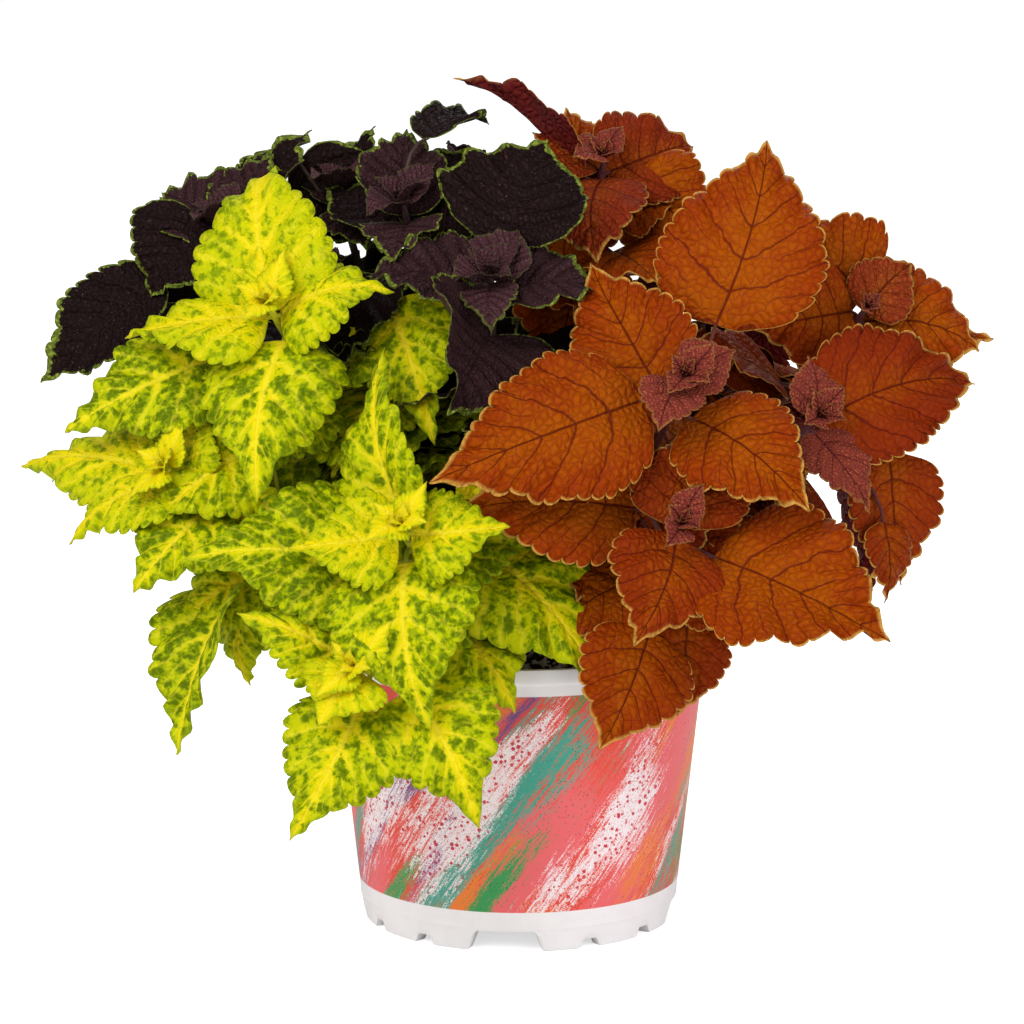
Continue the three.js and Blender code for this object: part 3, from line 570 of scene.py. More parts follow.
def settled(leaf, tree):
    """The leaf at the turn that the frame's solid has, found by its tip's two corners."""
    best, best_miss = leaf, 1e9
    for yaw in YAWS:
        for pitch in PITCHES:
            placed = swung(leaf, pitch, yaw)
            along = unit(placed["tip"] - placed["base"])
            half = square_to(placed["normal"], along) * HALF_TIP
            corners = (placed["tip"] + half, placed["tip"] - half)
            miss = max(tree.find(Vector(c) * MM + POT_AXIS_POINT)[2] for c in corners) / MM
            if miss < best_miss:
                best, best_miss = placed, miss
            if miss < EXACT_MISS:
                return placed, miss
    return best, best_miss


def drawn_back(leaf):
    """The leaf's tip, moved to where it is drawn if that is near, at the depth given or its own."""
    tip = on_sight_line(leaf["ends"], leaf.get("depth", -leaf["tip"][1]))
    return tip if np.linalg.norm(tip - leaf["tip"]) < FARTHEST_BACK else leaf["tip"]


def vertex_tree(node):
    """A search tree of the corners of one of the frame's solids."""
    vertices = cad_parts[node].data.vertices
    tree = kdtree.KDTree(len(vertices))
    for i, vertex in enumerate(vertices):
        tree.insert(vertex.co, i)
    tree.balance()
    return tree


def all_shoots():
    """{node name: (its stem, its leaves in place)}"""
    shoots = {}
    for name, apex, axis, foot, rows in DRAWN_SHOOTS:
        stem = Stem(on_sight_line(apex[:2], apex[2]), unit(np.array(axis, float)), foot)
        shoots[name] = (stem, list(drawn_leaves(stem, apex[2], rows)))
    draw = seeded_draw(FAR_SEED)
    for name, apex, axis, foot in FAR_SHOOTS:
        stem = Stem(np.array(apex, float), unit(np.array(axis, float)), foot)
        shoots[name] = (stem, list(far_leaves(stem, draw)))
    for name, (stem, leaves) in shoots.items():
        tree = vertex_tree(name)
        for i, leaf in enumerate(leaves):
            leaves[i], miss = settled(leaf, tree)
            if miss > WORTH_A_WORD:
                print(f"{name} leaf {i} is {miss:.2f} mm from its solid")
            if "ends" in leaf:
                leaves[i]["tip"] = drawn_back(leaves[i])
    for name, apex, *_ in DRAWN_SHOOTS:
        stem, leaves = shoots[name]
        leaves.extend(drawn_leaves(stem, apex[2], FILLING_LEAVES.get(name, ())))
    return shoots


# ---- Meshes ------------------------------------------------------------------------------------------


def new_mesh(name, points, faces):
    """A mesh of points that are given in millimetres from the pot's axis."""
    mesh = bpy.data.meshes.new(name)
    mesh.from_pydata((np.asarray(points) * MM + np.array(POT_AXIS_POINT)).tolist(), [], faces)
    return mesh


def place(name, data):
    """A new object in the scene."""
    piece = bpy.data.objects.new(name, data)
    bpy.context.scene.collection.objects.link(piece)
    return piece


def round_angles(steps):
    """Even angles once round."""
    return np.arange(steps) * 2 * math.pi / steps


# What is far enough from a leaf's edge to have none of its margin's colour, in millimetres.
FAR_FROM_EDGE = 5.0


class MeshParts:
    """Gathers grids and tubes, with what their materials read, into one mesh."""

    def __init__(self):
        self.points, self.faces, self.slots, self.facts = [], [], [], []
        self.count = 0

    def add(self, points, faces, slot, **facts):
        """Adds one part. Without facts it is a stem's: no veins, and far from a leaf's edge."""
        size = len(points)
        self.points.append(points)
        self.faces.extend([tuple(i + self.count for i in face) for face in faces])
        self.slots.extend([slot] * len(faces))
        self.facts.append({
            "veins": np.zeros((size, 2)), "flat": np.zeros((size, 2)), "traits": np.zeros((size, 3)),
            "margin": np.full(size, FAR_FROM_EDGE), **facts,
        })
        self.count += size

    def fact(self, name):
        """One of the facts, for every point of the mesh."""
        return np.concatenate([facts[name] for facts in self.facts]).astype(np.float32)

    def build(self, name, materials):
        """The object of all parts, with its facts as leaf_ layers."""
        mesh = new_mesh(name, np.concatenate(self.points), self.faces)
        corners = np.empty(len(mesh.loops), np.int32)
        mesh.loops.foreach_get("vertex_index", corners)
        for label in ("veins", "flat"):
            layer = mesh.uv_layers.new(name=f"leaf_{label}")
            layer.data.foreach_set("uv", self.fact(label)[corners].ravel())
        for label, kind, field in (("traits", "FLOAT_VECTOR", "vector"), ("margin", "FLOAT", "value")):
            layer = mesh.attributes.new(f"leaf_{label}", kind, "POINT")
            layer.data.foreach_set(field, self.fact(label).ravel())
        for material in materials:
            mesh.materials.append(material)
        mesh.polygons.foreach_set("material_index", self.slots)
        mesh.shade_smooth()
        return place(name, mesh)


def shell_faces(rows, columns):
    """Quads of a closed sheet: a top grid, then a bottom grid, and the rim between them."""
    size = rows * columns
    grid = np.arange(size).reshape(rows, columns)
    a, b, c, d = grid[:-1, :-1], grid[:-1, 1:], grid[1:, 1:], grid[1:, :-1]
    top = np.stack([a, b, c, d], -1).reshape(-1, 4)
    faces = top.tolist() + (top[:, ::-1] + size).tolist()
    rim = [*grid[0, :], *grid[1:, -1], *grid[-1, -2::-1], *grid[-2:0:-1, 0]]
    for this, following in zip(rim, rim[1:] + rim[:1]):
        faces.append([following, this, this + size, following + size])
    return faces


def tube_faces(rings, sides):
    """Quads of a tube with closed ends."""
    faces = []
    for i in range(rings - 1):
        for k in range(sides):
            a, b = i * sides + k, i * sides + (k + 1) % sides
            faces.append([a, b, b + sides, a + sides])
    last = (rings - 1) * sides
    faces.append(list(range(sides))[::-1])
    faces.append([last + k for k in range(sides)])
    return faces


def tube(centres, radii, sides, squareness=0.0, up=(1.0, 0.0, 0.0)):
    """Points of a tube round a line, with its section between round and square."""
    along = np.gradient(centres, axis=0)
    along /= np.linalg.norm(along, axis=1)[:, None]
    side = square_to(np.array(up), along[0])
    angles = round_angles(sides)
    widen = 1 + squareness * (np.maximum(abs(np.cos(angles)), abs(np.sin(angles))) ** -1 - 1)
    rings = []
    for centre, way, radius in zip(centres, along, radii):
        side = square_to(side, way)
        over = np.cross(way, side)
        out = np.cos(angles)[:, None] * side + np.sin(angles)[:, None] * over
        rings.append(centre + out * (widen * radius)[:, None])
    return np.concatenate(rings)


def margin_stations(length, shape, size, phases, tail_rows, draw):
    """Where each row of a blade leaves its midrib and meets its edge, as shares of the blade's length, and
    how far the edge stands out there as teeth. The base has rows at the first three stations."""
    start, stop = shape["bare_base"], 1 - shape["bare_tip"]
    # Small leaves have finer teeth, and a side's edge is a fifth longer than the blade.
    pitch = shape["tooth_pitch"] * (0.38 + 0.62 * size)
    teeth = max(FEWEST_TEETH, round((stop - start) * length * 1.2 / pitch))
    edge = [0.0, 0.01, 0.025]
    out = [0.0] * len(edge)
    for k in range(teeth):
        bite = vary(draw, "tooth") * (1.05 - 0.35 * k / teeth)
        for phase in phases:
            edge.append(start + (stop - start) * (k + phase) / teeth)
            out.append(bite * max(0.0, 4 * phase * (1 - phase)) ** shape["tooth_round"])
    tail = np.linspace(stop, 1, tail_rows if shape["bare_tip"] > 0.1 else round(tail_rows * 0.6))
    edge = np.array(edge + list(tail))
    even = np.linspace(0, 1, 200)
    midrib = np.interp(edge, even + shape["vein_lean"] * np.sin(math.pi * even**0.62), even)
    return midrib, edge, np.array(out + [0.0] * len(tail))


class Blade:
    """A leaf's blade on a grid, with a row for each station of its edge. Its fields hold, for each point, how
    far along the blade (x), across it (y) and up from it (lift) it lies, in millimetres."""

    def __init__(self, leaf, kind, length, grid, draw):
        self.leaf, self.shape, self.length = leaf, BLADES[kind], length
        self.size = min(1.0, length / FULL_LENGTH)
        self.outline(grid, draw)
        self.lift = self.folds(draw) + self.swells() + self.waves(draw) + self.puckers(draw)
        self.lift -= self.hanging(draw)
        self.y = self.flat_y + self.sway(draw)

    def outline(self, grid, draw):
        """Lays the grid out flat, with its teeth. Each row leaves the midrib at its share of the length, and
        runs forward along a side vein; out is how near the edge each column is, 0 to 1, and hand its side."""
        shape, length, width, size = self.shape, self.length, self.leaf["width"], self.size
        phases, columns, tail_rows = GRIDS[grid]
        down, edge, tooth = margin_stations(length, shape, size, phases, tail_rows, draw)
        columns = np.array(columns)
        self.down, self.hand = np.meshgrid(down, np.concatenate([-columns[:0:-1], columns]), indexing="ij")
        self.out = abs(self.hand)

        half_width = width / 2 * WIDENING * np.interp(edge, *shape["outline"])
        half_width = np.maximum(half_width, np.where(down < 0.5, RIDGE_HALF * size, TIP_HALF))
        # Teeth are smaller where the blade is narrow.
        teeth_room = np.minimum(1, half_width / (0.28 * width))
        tooth = shape["tooth_depth"] * size**1.2 * tooth * teeth_room
        toothed = tooth[:, None] * self.out**5
        forward = (edge - down)[:, None] * self.out**1.45
        lobe = np.interp(edge, (0, 0.02, 0.05, 0.1, 0.2, 1), (0, 0.6, 1, 0.9, 0, 0))
        heart = self.leaf.get("heart", shape["heart"]) * length * lobe[:, None] * self.out**2
        self.x = length * (self.down + forward) + shape["tooth_lean"] * toothed - heart

        self.half_width = half_width[:, None]
        self.reach = self.out * self.half_width + toothed
        self.flat_y = np.sign(self.hand) * self.reach
        self.share = np.clip(self.x / length, 0, 1)
        self.hump = 4 * self.share * (1 - self.share)

        from_edge = (1 - self.out) * (half_width + tooth)[:, None] - shape["tooth_rim"] * toothed
        from_tip = (length - self.x) * 0.7 + 0.1
        self.margin = np.minimum(from_edge, from_tip) / (0.35 + 0.65 * size)

    def folds(self, draw):
        """The bow of the midrib, the rounded fold along it and the turned edge."""
        fold = self.leaf.get("fold", self.shape["fold"])
        lift = self.shape["arch"] * self.length * self.hump + fold * (np.sqrt(self.flat_y**2 + 2.2) - 1.5)
        return lift - self.shape["recurve"] * vary(draw, "recurve") * self.reach * self.out**2.5

    def swells(self):
        """Swells between the side veins, and the midrib's crease."""
        between = np.sin(math.pi * self.down * self.shape["laterals"]) ** 2
        puff = self.shape["puff"] * self.size * (between - 0.4) * self.out**0.6 * (1 - 0.5 * self.out**2)
        crease = self.shape["crease"] * self.size * np.exp(-((self.flat_y / 1.1) ** 2)) * (1 - self.down)
        return puff * np.sin(math.pi * self.share) ** 0.4 - crease

    def waves(self, draw):
        """The waves and the curl of each side, and the twist from base to tip."""
        lift = 0
        count = vary(draw, "waves")
        ruffle = self.shape["ruffle"] * (0.3 + 0.7 * self.size)
        along = np.sin(math.pi * self.down)
        for hand in (-1, 1):
            start = draw() * 2 * math.pi
            wave = ruffle * self.out**2.2 * np.sin(2 * math.pi * count * self.down + start) * along**0.5
            curl = vary(draw, "curl") * along * self.out**2.5
            lift += np.where(self.hand * hand > 0, self.leaf["width"] / 2 * (wave + curl), 0)
        return lift + vary(draw, "twist") * self.flat_y * (self.share - 0.25)

    def puckers(self, draw):
        """Fine puckers, which fade to the edge."""
        start_x, start_y = draw() * 6, draw() * 6
        puckers = np.sin(self.x / 1.6 + start_x) * np.sin(self.flat_y / 1.9 + start_y)
        return 0.3 * self.size * puckers * (1 - self.out**4)

    def hanging(self, draw):
        """How far the last third hangs."""
        bend = self.leaf["bend"] if "bend" in self.leaf else vary(draw, "bend")
        return bend * self.length * np.clip(self.share - 0.62, 0, 1) ** 2

    def sway(self, draw):
        """How far the blade and its tip bend sideways."""
        blade = vary(draw, "sway") * self.hump
        tip = vary(draw, "tip_sway") * np.clip(self.share - 0.7, 0, 1) ** 2
        return (blade + tip) * self.length

    def points(self, base, along, side, normal):
        """The points of the top and then of the bottom, which has the midrib as a ridge."""
        flat = base + self.x[..., None] * along + self.y[..., None] * side
        half = HALF_THICKNESS * (1 - 0.45 * self.out**6) * (0.7 + 0.3 * self.size)
        ridge = np.exp(-((self.out * self.half_width / RIDGE_HALF) ** 2)) * (1 - 0.8 * self.down)
        ridge *= RIDGE_HEIGHT * self.size
        top = flat + (self.lift + half)[..., None] * normal
        bottom = flat + (self.lift - half - ridge)[..., None] * normal
        return np.concatenate([top.reshape(-1, 3), bottom.reshape(-1, 3)])


def add_leaf(parts, leaf, kind, draw, grid="large"):
    """One leaf: a thin closed blade, and its petiole unless that is very short."""
    base = leaf["root"] + (leaf["base"] - leaf["root"]) * leaf["nearer"]
    along = leaf["tip"] - base
    length = np.linalg.norm(along)
    along = along / length
    normal = square_to(leaf["normal"], along)
    normal = turned(normal, np.cross(along, normal), vary(draw, "roll") + leaf.get("roll", 0))
    side = np.cross(along, normal)
    blade = Blade(leaf, kind, length, grid, draw)
    tone = draw()

    veins = np.stack([blade.down, blade.hand / 2 + 0.5], -1).reshape(-1, 2)
    flat = np.stack([blade.x / 100, blade.flat_y / 100 + 0.5], -1).reshape(-1, 2)
    sheet = np.tile([leaf["age"], tone, 0.0], (2, len(veins), 1))
    sheet[0, :, 2] = 1
    parts.add(
        blade.points(base, along, side, normal), shell_faces(*blade.x.shape), 0, veins=np.tile(veins, (2, 1)),
        flat=np.tile(flat, (2, 1)), traits=sheet.reshape(-1, 3), margin=np.tile(blade.margin.reshape(-1), 2),
    )

    stalk = np.linalg.norm(base - leaf["root"])
    if stalk < PETIOLE_SHORTEST:
        return
    handle = base - along * stalk * PETIOLE_BOW
    end = base + along * PETIOLE_OVERLAP - normal * 0.5
    s = np.linspace(0, 1, PETIOLE_RINGS)[:, None]
    line = (1 - s) ** 2 * leaf["root"] + 2 * s * (1 - s) * handle + s**2 * end
    radii = np.linspace(*PETIOLE_RADII, PETIOLE_RINGS) * (0.6 + 0.4 * blade.size)
    petiole = tube(line, radii, PETIOLE_SIDES, up=normal)
    traits = np.tile([leaf["age"], tone, 1.0], (len(petiole), 1))
    parts.add(petiole, tube_faces(PETIOLE_RINGS, PETIOLE_SIDES), 1, traits=traits)


def add_stem(parts, stem):
    """A square stem that thins towards its tip and swells at each leaf pair."""
    steps = np.linspace(0, 1, STEM_RINGS)
    line = np.concatenate([[stem.foot], stem.bend(steps)])
    left = stem.lengths[-1] - np.interp(steps, stem.steps, stem.lengths)
    grown = np.clip(left / STEM_STRETCH, 0, 1)
    radii = STEM_RADIUS + STEM_GROWTH * grown
    for below, _, _ in PAIRS[1:]:
        radii = radii * (1 + NODE_SWELL * np.exp(-(((left - below) / NODE_LENGTH) ** 2)))
    radii = np.concatenate([[STEM_FOOT_RADIUS], radii])
    radii[-1] *= STEM_END
    points = tube(line, radii, STEM_SIDES, squareness=STEM_SQUARENESS)
    traits = np.tile([0.5, 0.5, 1.0], (len(points), 1))
    traits[:, 0] = np.repeat(np.concatenate([[1.0], grown]), STEM_SIDES)
    parts.add(points, tube_faces(len(line), STEM_SIDES), 1, traits=traits)


# ---- Shader nodes ------------------------------------------------------------------------------------


class Value:
    """An output in a node tree, with which sums, differences and products can be written."""

    def __init__(self, nodes, socket):
        self.nodes, self.socket = nodes, socket

    def __add__(self, other):
        return self.nodes.math("ADD", self, other)

    def __sub__(self, other):
        return self.nodes.math("SUBTRACT", self, other)

    def __rsub__(self, other):
        return self.nodes.math("SUBTRACT", other, self)

    def __mul__(self, other):
        return self.nodes.math("MULTIPLY", self, other)

    def __abs__(self):
        return self.nodes.math("ABSOLUTE", self)


class Nodes:
    """Short calls that place and join nodes in one tree."""

    def __init__(self, tree):
        self.tree = tree

    def make(self, kind, inputs=None, **settings):
        """A new node, with each of its inputs joined to a value or set to a constant."""
        node = self.tree.nodes.new(kind)
        for name, value in settings.items():
            setattr(node, name, value)
        for key, value in (inputs or {}).items():
            if isinstance(value, Value):
                self.tree.links.new(value.socket, node.inputs[key])
            else:
                node.inputs[key].default_value = value
        return node

    def get(self, kind, output, inputs=None, **settings):
        """One output of a new node."""
        return Value(self, self.make(kind, inputs, **settings).outputs[output])

    def outputs(self, kind, inputs=None, **settings):
        """All outputs of a new node, by name."""
        return {socket.name: Value(self, socket) for socket in self.make(kind, inputs, **settings).outputs}

    def math(self, operation, *values):
        """One of the Math node's operations."""
        return self.get("ShaderNodeMath", 0, dict(enumerate(values)), operation=operation)

    def larger(self, first, second):
        """The larger of two values."""
        return self.math("MAXIMUM", first, second)

    def smooth(self, value, low, high, start=0.0, end=1.0):
        """Goes softly from start to end while a value goes from low to high."""
        inputs = {0: value, 1: low, 2: high, 3: start, 4: end}
        return self.get("ShaderNodeMapRange", 0, inputs, interpolation_type="SMOOTHSTEP")

    def fade(self, value, low, high):
        """Goes softly from 1 to 0 while a value goes from low to high."""
        return self.smooth(value, low, high, 1.0, 0.0)

    def blend(self, share, first, second):
        """The first colour, with a share of the second."""
        return self.get("ShaderNodeMix", 2, {0: share, 6: first, 7: second}, data_type="RGBA")

    def noise(self, place, scale, detail=3.0, roughness=0.55):
        """Soft noise from 0 to 1."""
        inputs = {"Vector": place, "Scale": scale, "Detail": detail, "Roughness": roughness}
        return self.get("ShaderNodeTexNoise", "Fac", inputs)

    def cells(self, place, scale, randomness=1.0, **settings):
        """The Distance and Color of a pattern of cells."""
        inputs = {"Vector": place, "Scale": scale, "Randomness": randomness}
        return self.outputs("ShaderNodeTexVoronoi", inputs, **settings)

    def shift(self, place, scale, location=(0, 0, 0)):
        """Places scaled and then moved."""
        return self.get("ShaderNodeMapping", 0, {"Vector": place, "Location": location, "Scale": scale})

    def bump(self, height, distance, strength):
        """Normals of a relief, with its distance in metres."""
        return self.get("ShaderNodeBump", 0, {"Height": height, "Distance": distance, "Strength": strength})

    def parts(self, vector):
        """A vector's X, Y and Z."""
        return tuple(self.outputs("ShaderNodeSeparateXYZ", {0: vector}).values())

    def vector(self, *parts):
        """A vector of up to three values."""
        return self.get("ShaderNodeCombineXYZ", 0, dict(enumerate(parts)))

    def attribute(self, name, output):
        """What a mesh carries under a name."""
        return self.get("ShaderNodeAttribute", output, attribute_name=name)

    def chance(self, cells):
        """A number from 0 to 1 for each cell."""
        return self.get("ShaderNodeSeparateColor", 0, {0: cells["Color"]})

    def own_place(self):
        """Places in metres."""
        return self.get("ShaderNodeTexCoord", "Object")


def rgb(red, green, blue):
    """A colour given as screen values from 0 to 255, in the linear values that Blender works in."""
    screen = [c / 255 for c in (red, green, blue)]
    linear = [c / 12.92 if c <= 0.04045 else ((c + 0.055) / 1.055) ** 2.4 for c in screen]
    return (*linear, 1.0)


def principled(name, fill, specular):
    """A material with one Principled shader. fill(nodes) gives its inputs apart from its specular level."""
    material = bpy.data.materials.new(name)
    material.use_nodes = True
    tree = material.node_tree
    tree.nodes.clear()
    nodes = Nodes(tree)
    surface = nodes.get("ShaderNodeBsdfPrincipled", 0, {"Specular IOR Level": specular, **fill(nodes)})
    nodes.make("ShaderNodeOutputMaterial", {"Surface": surface})
    return material


# ---- Leaves and stems --------------------------------------------------------------------------------

# What can be set of the leaf pattern, and its usual values. The midrib's width and the scales are for
# centimetres; a lateral's width is a share of the distance to the next one, and the net's of its cells.
PATTERN_INPUTS = {
    "Midrib Width": 0.09, "Laterals": 7.0, "Lateral Width": 0.07, "Wander": 0.5, "Net Scale": 3.0,
    "Net Width": 0.07, "Patch Scale": 3.5,
}


def leaf_pattern():
    """The node group of a leaf's veins, cells and patches, built once."""
    name = "leaf pattern"
    if name in bpy.data.node_groups:
        return bpy.data.node_groups[name]
    tree = bpy.data.node_groups.new(name, "ShaderNodeTree")
    for label, default in PATTERN_INPUTS.items():
        socket = tree.interface.new_socket(label, in_out="INPUT", socket_type="NodeSocketFloat")
        socket.default_value = default
    nodes = Nodes(tree)
    found = leaf_pattern_values(nodes, nodes.outputs("NodeGroupInput"))
    for label in found:
        tree.interface.new_socket(label, in_out="OUTPUT", socket_type="NodeSocketFloat")
    nodes.make("NodeGroupOutput", found)
    return tree


def leaf_pattern_values(nodes, given):
    """What the leaf pattern gives. Places are centimetres on the flat blade, its own for each leaf."""
    down, hand, _ = nodes.parts(nodes.get("ShaderNodeUVMap", 0, uv_map="leaf_veins"))
    flat_x, flat_y, _ = nodes.parts(nodes.get("ShaderNodeUVMap", 0, uv_map="leaf_flat"))
    age, tone, top = nodes.parts(nodes.attribute("leaf_traits", "Vector"))
    x = flat_x * 10.0
    y = (flat_y - 0.5) * 10.0
    out = abs(hand * 2.0 - 1.0)
    place = nodes.vector(x, y, tone * 60.0)
    wander = nodes.noise(place, 1.1, 2.0) - 0.5

    from_midrib = abs(y + wander * 0.06)
    midrib_width = given["Midrib Width"] * nodes.smooth(down, 0.0, 1.0, 1.0, 0.3)
    midrib = nodes.fade(from_midrib, midrib_width * 0.3, midrib_width)

    phase = down * given["Laterals"] + wander * given["Wander"]
    from_lateral = abs(nodes.math("FRACT", phase + 0.5) - 0.5)
    width = given["Lateral Width"] * nodes.smooth(out, 0.0, 1.0, 1.0, 0.4)
    lateral = nodes.fade(from_lateral, width * 0.3, width)
    fork = nodes.fade(0.5 - from_lateral, width * 0.15, width * 0.8)
    lateral = nodes.larger(lateral, fork * nodes.smooth(out, 0.45, 0.6, 0.0, 0.8))

    lateral_halo = nodes.fade(from_lateral, 0.0, 0.3) * nodes.smooth(out, 0.0, 1.0, 1.0, 0.35)
    midrib_halo = nodes.fade(from_midrib, 0.0, 0.35)

    bent = nodes.vector(x + tone * 60.0 + wander * 0.7, y + wander * -0.5)
    net_scale = given["Net Scale"] * nodes.smooth(age, 0.0, 0.6, 2.1, 1.0)
    to_edge = {"voronoi_dimensions": "2D", "feature": "DISTANCE_TO_EDGE"}
    net_edge = nodes.cells(bent, net_scale, 0.85, **to_edge)["Distance"]
    net = nodes.fade(net_edge, given["Net Width"] * 0.2, given["Net Width"])
    cells = nodes.cells(bent, net_scale, 0.85, voronoi_dimensions="2D")
    fine = nodes.fade(nodes.cells(bent, net_scale * 2.3, **to_edge)["Distance"], 0.0, 0.15)

    cell = nodes.smooth(net_edge, 0.0, 0.42)
    relief = cell + nodes.smooth(from_lateral, 0.0, 0.3) * 0.8 + lateral * -0.4
    relief = relief + midrib * -0.8 + fine * -0.06
    relief = relief + nodes.noise(place, 9.0, 2.0) * 0.12
    return {
        "Midrib": midrib, "Lateral": lateral, "Net": net, "Cell": cell,
        "Halo": nodes.larger(lateral_halo, midrib_halo),
        "Relief": relief * nodes.smooth(age, 0.3, 0.9, 1.0, 0.6),
        "Patches": nodes.noise(place, given["Patch Scale"], 3.0, 0.5), "Cloud": nodes.noise(place, 0.7, 2.0),
        "Out": out, "Age": age, "Tone": tone, "Top": top, "Margin": nodes.attribute("leaf_margin", "Fac"),
        "Chance": nodes.chance(cells), "Grain": nodes.noise(place, 14.0, 3.0, 0.65),
    }


def lime_colour(nodes, p, colours):
    """Yellow with soft green islands between its veins, and greener with age."""
    greener = p["Patches"] * 0.4 + p["Cloud"] * 0.7 + p["Out"] * 0.35
    greener = greener + p["Halo"] * -0.35 + p["Age"] * 0.5
    colour = nodes.blend(nodes.smooth(greener, 0.5, 1.05), colours.yellow, colours.light_green)
    blotch = p["Patches"] * 1.6 + p["Cloud"] * 0.4 + p["Age"] * 0.35
    blotch = blotch + p["Halo"] * -0.3 + p["Chance"] * 0.12
    blotch = blotch + (p["Grain"] - 0.5) * 0.35
    between = nodes.smooth(p["Cell"], 0.0, 0.5, nodes.smooth(p["Age"], 0.3, 0.9, 1.0, 0.82), 1.0)
    blotch = nodes.smooth(blotch, 1.0, 1.52) * between * nodes.smooth(p["Age"], 0.0, 0.8, 0.6, 1.0)
    colour = nodes.blend(nodes.smooth(blotch, 0.05, 0.6), colour, colours.green)
    colour = nodes.blend(nodes.smooth(blotch, 0.5, 1.0), colour, colours.deep_green)
    colour = nodes.blend(nodes.larger(p["Midrib"] * 0.6, p["Lateral"] * 0.34), colour, colours.vein)
    return nodes.blend(nodes.fade(p["Margin"], 0.1, 1.0) * 0.4, colour, colours.edge)


def dark_colour(nodes, p, colours):
    """Near black with a ragged green margin, painted sheen on raised cells, and dusty purple while young."""
    young = nodes.fade(p["Age"], 0.02, 0.3)
    bloom = nodes.fade(p["Age"], 0.02, 0.6)
    colour = nodes.blend(nodes.smooth(p["Patches"], 0.35, 0.7), colours.chocolate, colours.black)
    colour = nodes.blend(nodes.larger(p["Midrib"], p["Lateral"]) * 0.4, colour, colours.vein)
    # Painted sheen: the raised cells between the veins are lightened towards the vein colour, as soft light
    # would catch them.
    colour = nodes.blend(nodes.smooth(p["Relief"], 0.5, 1.7, 0.0, 0.55), colour, colours.vein)
    glints = nodes.smooth(nodes.noise(nodes.own_place(), 1500.0, 0.0), 0.78, 0.84, 0.0, 0.4)
    colour = nodes.blend(glints, colour, colours.young_hair)
    hairs = nodes.smooth(nodes.noise(nodes.own_place(), 900.0, 2.0), 0.5, 0.75, 0.0, 0.5)
    dusty = nodes.blend(hairs, colours.young, colours.young_hair)
    colour = nodes.blend(bloom * nodes.smooth(p["Relief"], 0.2, 1.6, 0.5, 0.95), colour, dusty)
    ragged = p["Margin"] + p["Patches"] * -2.4 + p["Cloud"] * -3.0 + 2.15
    edge = nodes.fade(ragged + young * 0.5, 0.0, 0.35)
    line = nodes.fade(p["Margin"], 0.1, 0.4) * nodes.smooth(p["Cloud"], 0.4, 0.55, 0.45, 1.0)
    rim_colour = nodes.blend(nodes.smooth(p["Cell"], 0.2, 0.9), colours.margin_deep, colours.margin)
    rim_colour = nodes.blend(young, rim_colour, colours.young_margin)
    rim = nodes.larger(edge, line) * nodes.smooth(young, 0.0, 1.0, 0.95, 0.6)
    return nodes.blend(rim, colour, rim_colour)


def orange_colour(nodes, p, colours):
    """Rust orange with a net of dark red veins and a pale edge, and plum while young."""
    young = nodes.fade(p["Age"], 0.03, 0.5)
    hue = p["Patches"] * 0.6 + p["Cloud"] * 0.5 + p["Out"] * 0.45
    hue = hue + p["Cell"] * -0.14 + p["Tone"] * 0.3
    colour = nodes.blend(nodes.smooth(hue, 0.55, 1.1), colours.orange, colours.rust)
    ruddy = nodes.smooth(p["Tone"], 0.4, 1.0) * nodes.smooth(p["Out"], 0.1, 1.0, 0.35, 0.8)
    colour = nodes.blend(ruddy, colour, colours.red)
    colour = nodes.blend(nodes.smooth(p["Grain"], 0.35, 0.75, 0.0, 0.14), colour, colours.red)
    colour = nodes.blend(young, colour, nodes.blend(p["Cell"] * 0.55, colours.young, colours.young_cell))
    vein = nodes.larger(p["Midrib"], p["Lateral"] * 0.9)
    vein = nodes.larger(vein, p["Net"] * nodes.smooth(p["Age"], 0.2, 0.9, 0.7, 0.58))
    colour = nodes.blend(vein * 0.85, colour, nodes.blend(young, colours.vein, colours.young_vein))
    edge = nodes.fade(p["Margin"], 0.1, 0.75) * nodes.smooth(p["Age"], 0.1, 0.6, 0.3, 0.8)
    return nodes.blend(edge, colour, colours.edge)


# What else each kind's leaf has: its pattern, how much its underside's colour covers, its roughness where it
# is smooth and where it is rough, its specular level, and its relief: height in metres, strength, and the
# share of it that the youngest leaves have.
LEAF_FINISHES = {
    "lime": {
        "pattern": {
            "Laterals": 6.0, "Midrib Width": 0.2, "Lateral Width": 0.16, "Wander": 0.6, "Net Scale": 2.8,
            "Net Width": 0.12, "Patch Scale": 3.0,
        },
        "colour": lime_colour, "underside": 0.5, "roughness": (0.5, 0.62), "specular": 0.06,
        "relief": (0.0006, 0.7), "young_relief": 0.25,
    },
    "dark": {
        "pattern": {"Laterals": 8.0, "Lateral Width": 0.08, "Net Scale": 3.4, "Patch Scale": 7.0},
        "colour": dark_colour, "underside": 0.6, "roughness": (0.45, 0.62), "specular": 0.06,
        "relief": (0.0009, 0.9), "young_relief": 1.0,
    },
    "orange": {
        "pattern": {
            "Laterals": 6.0, "Midrib Width": 0.08, "Lateral Width": 0.065, "Wander": 0.35, "Net Scale": 2.8,
            "Net Width": 0.065, "Patch Scale": 1.6,
        },
        "colour": orange_colour, "underside": 0.85, "roughness": (0.36, 0.55), "specular": 0.05,
        "relief": (0.001, 0.9), "young_relief": 1.0,
    },
}


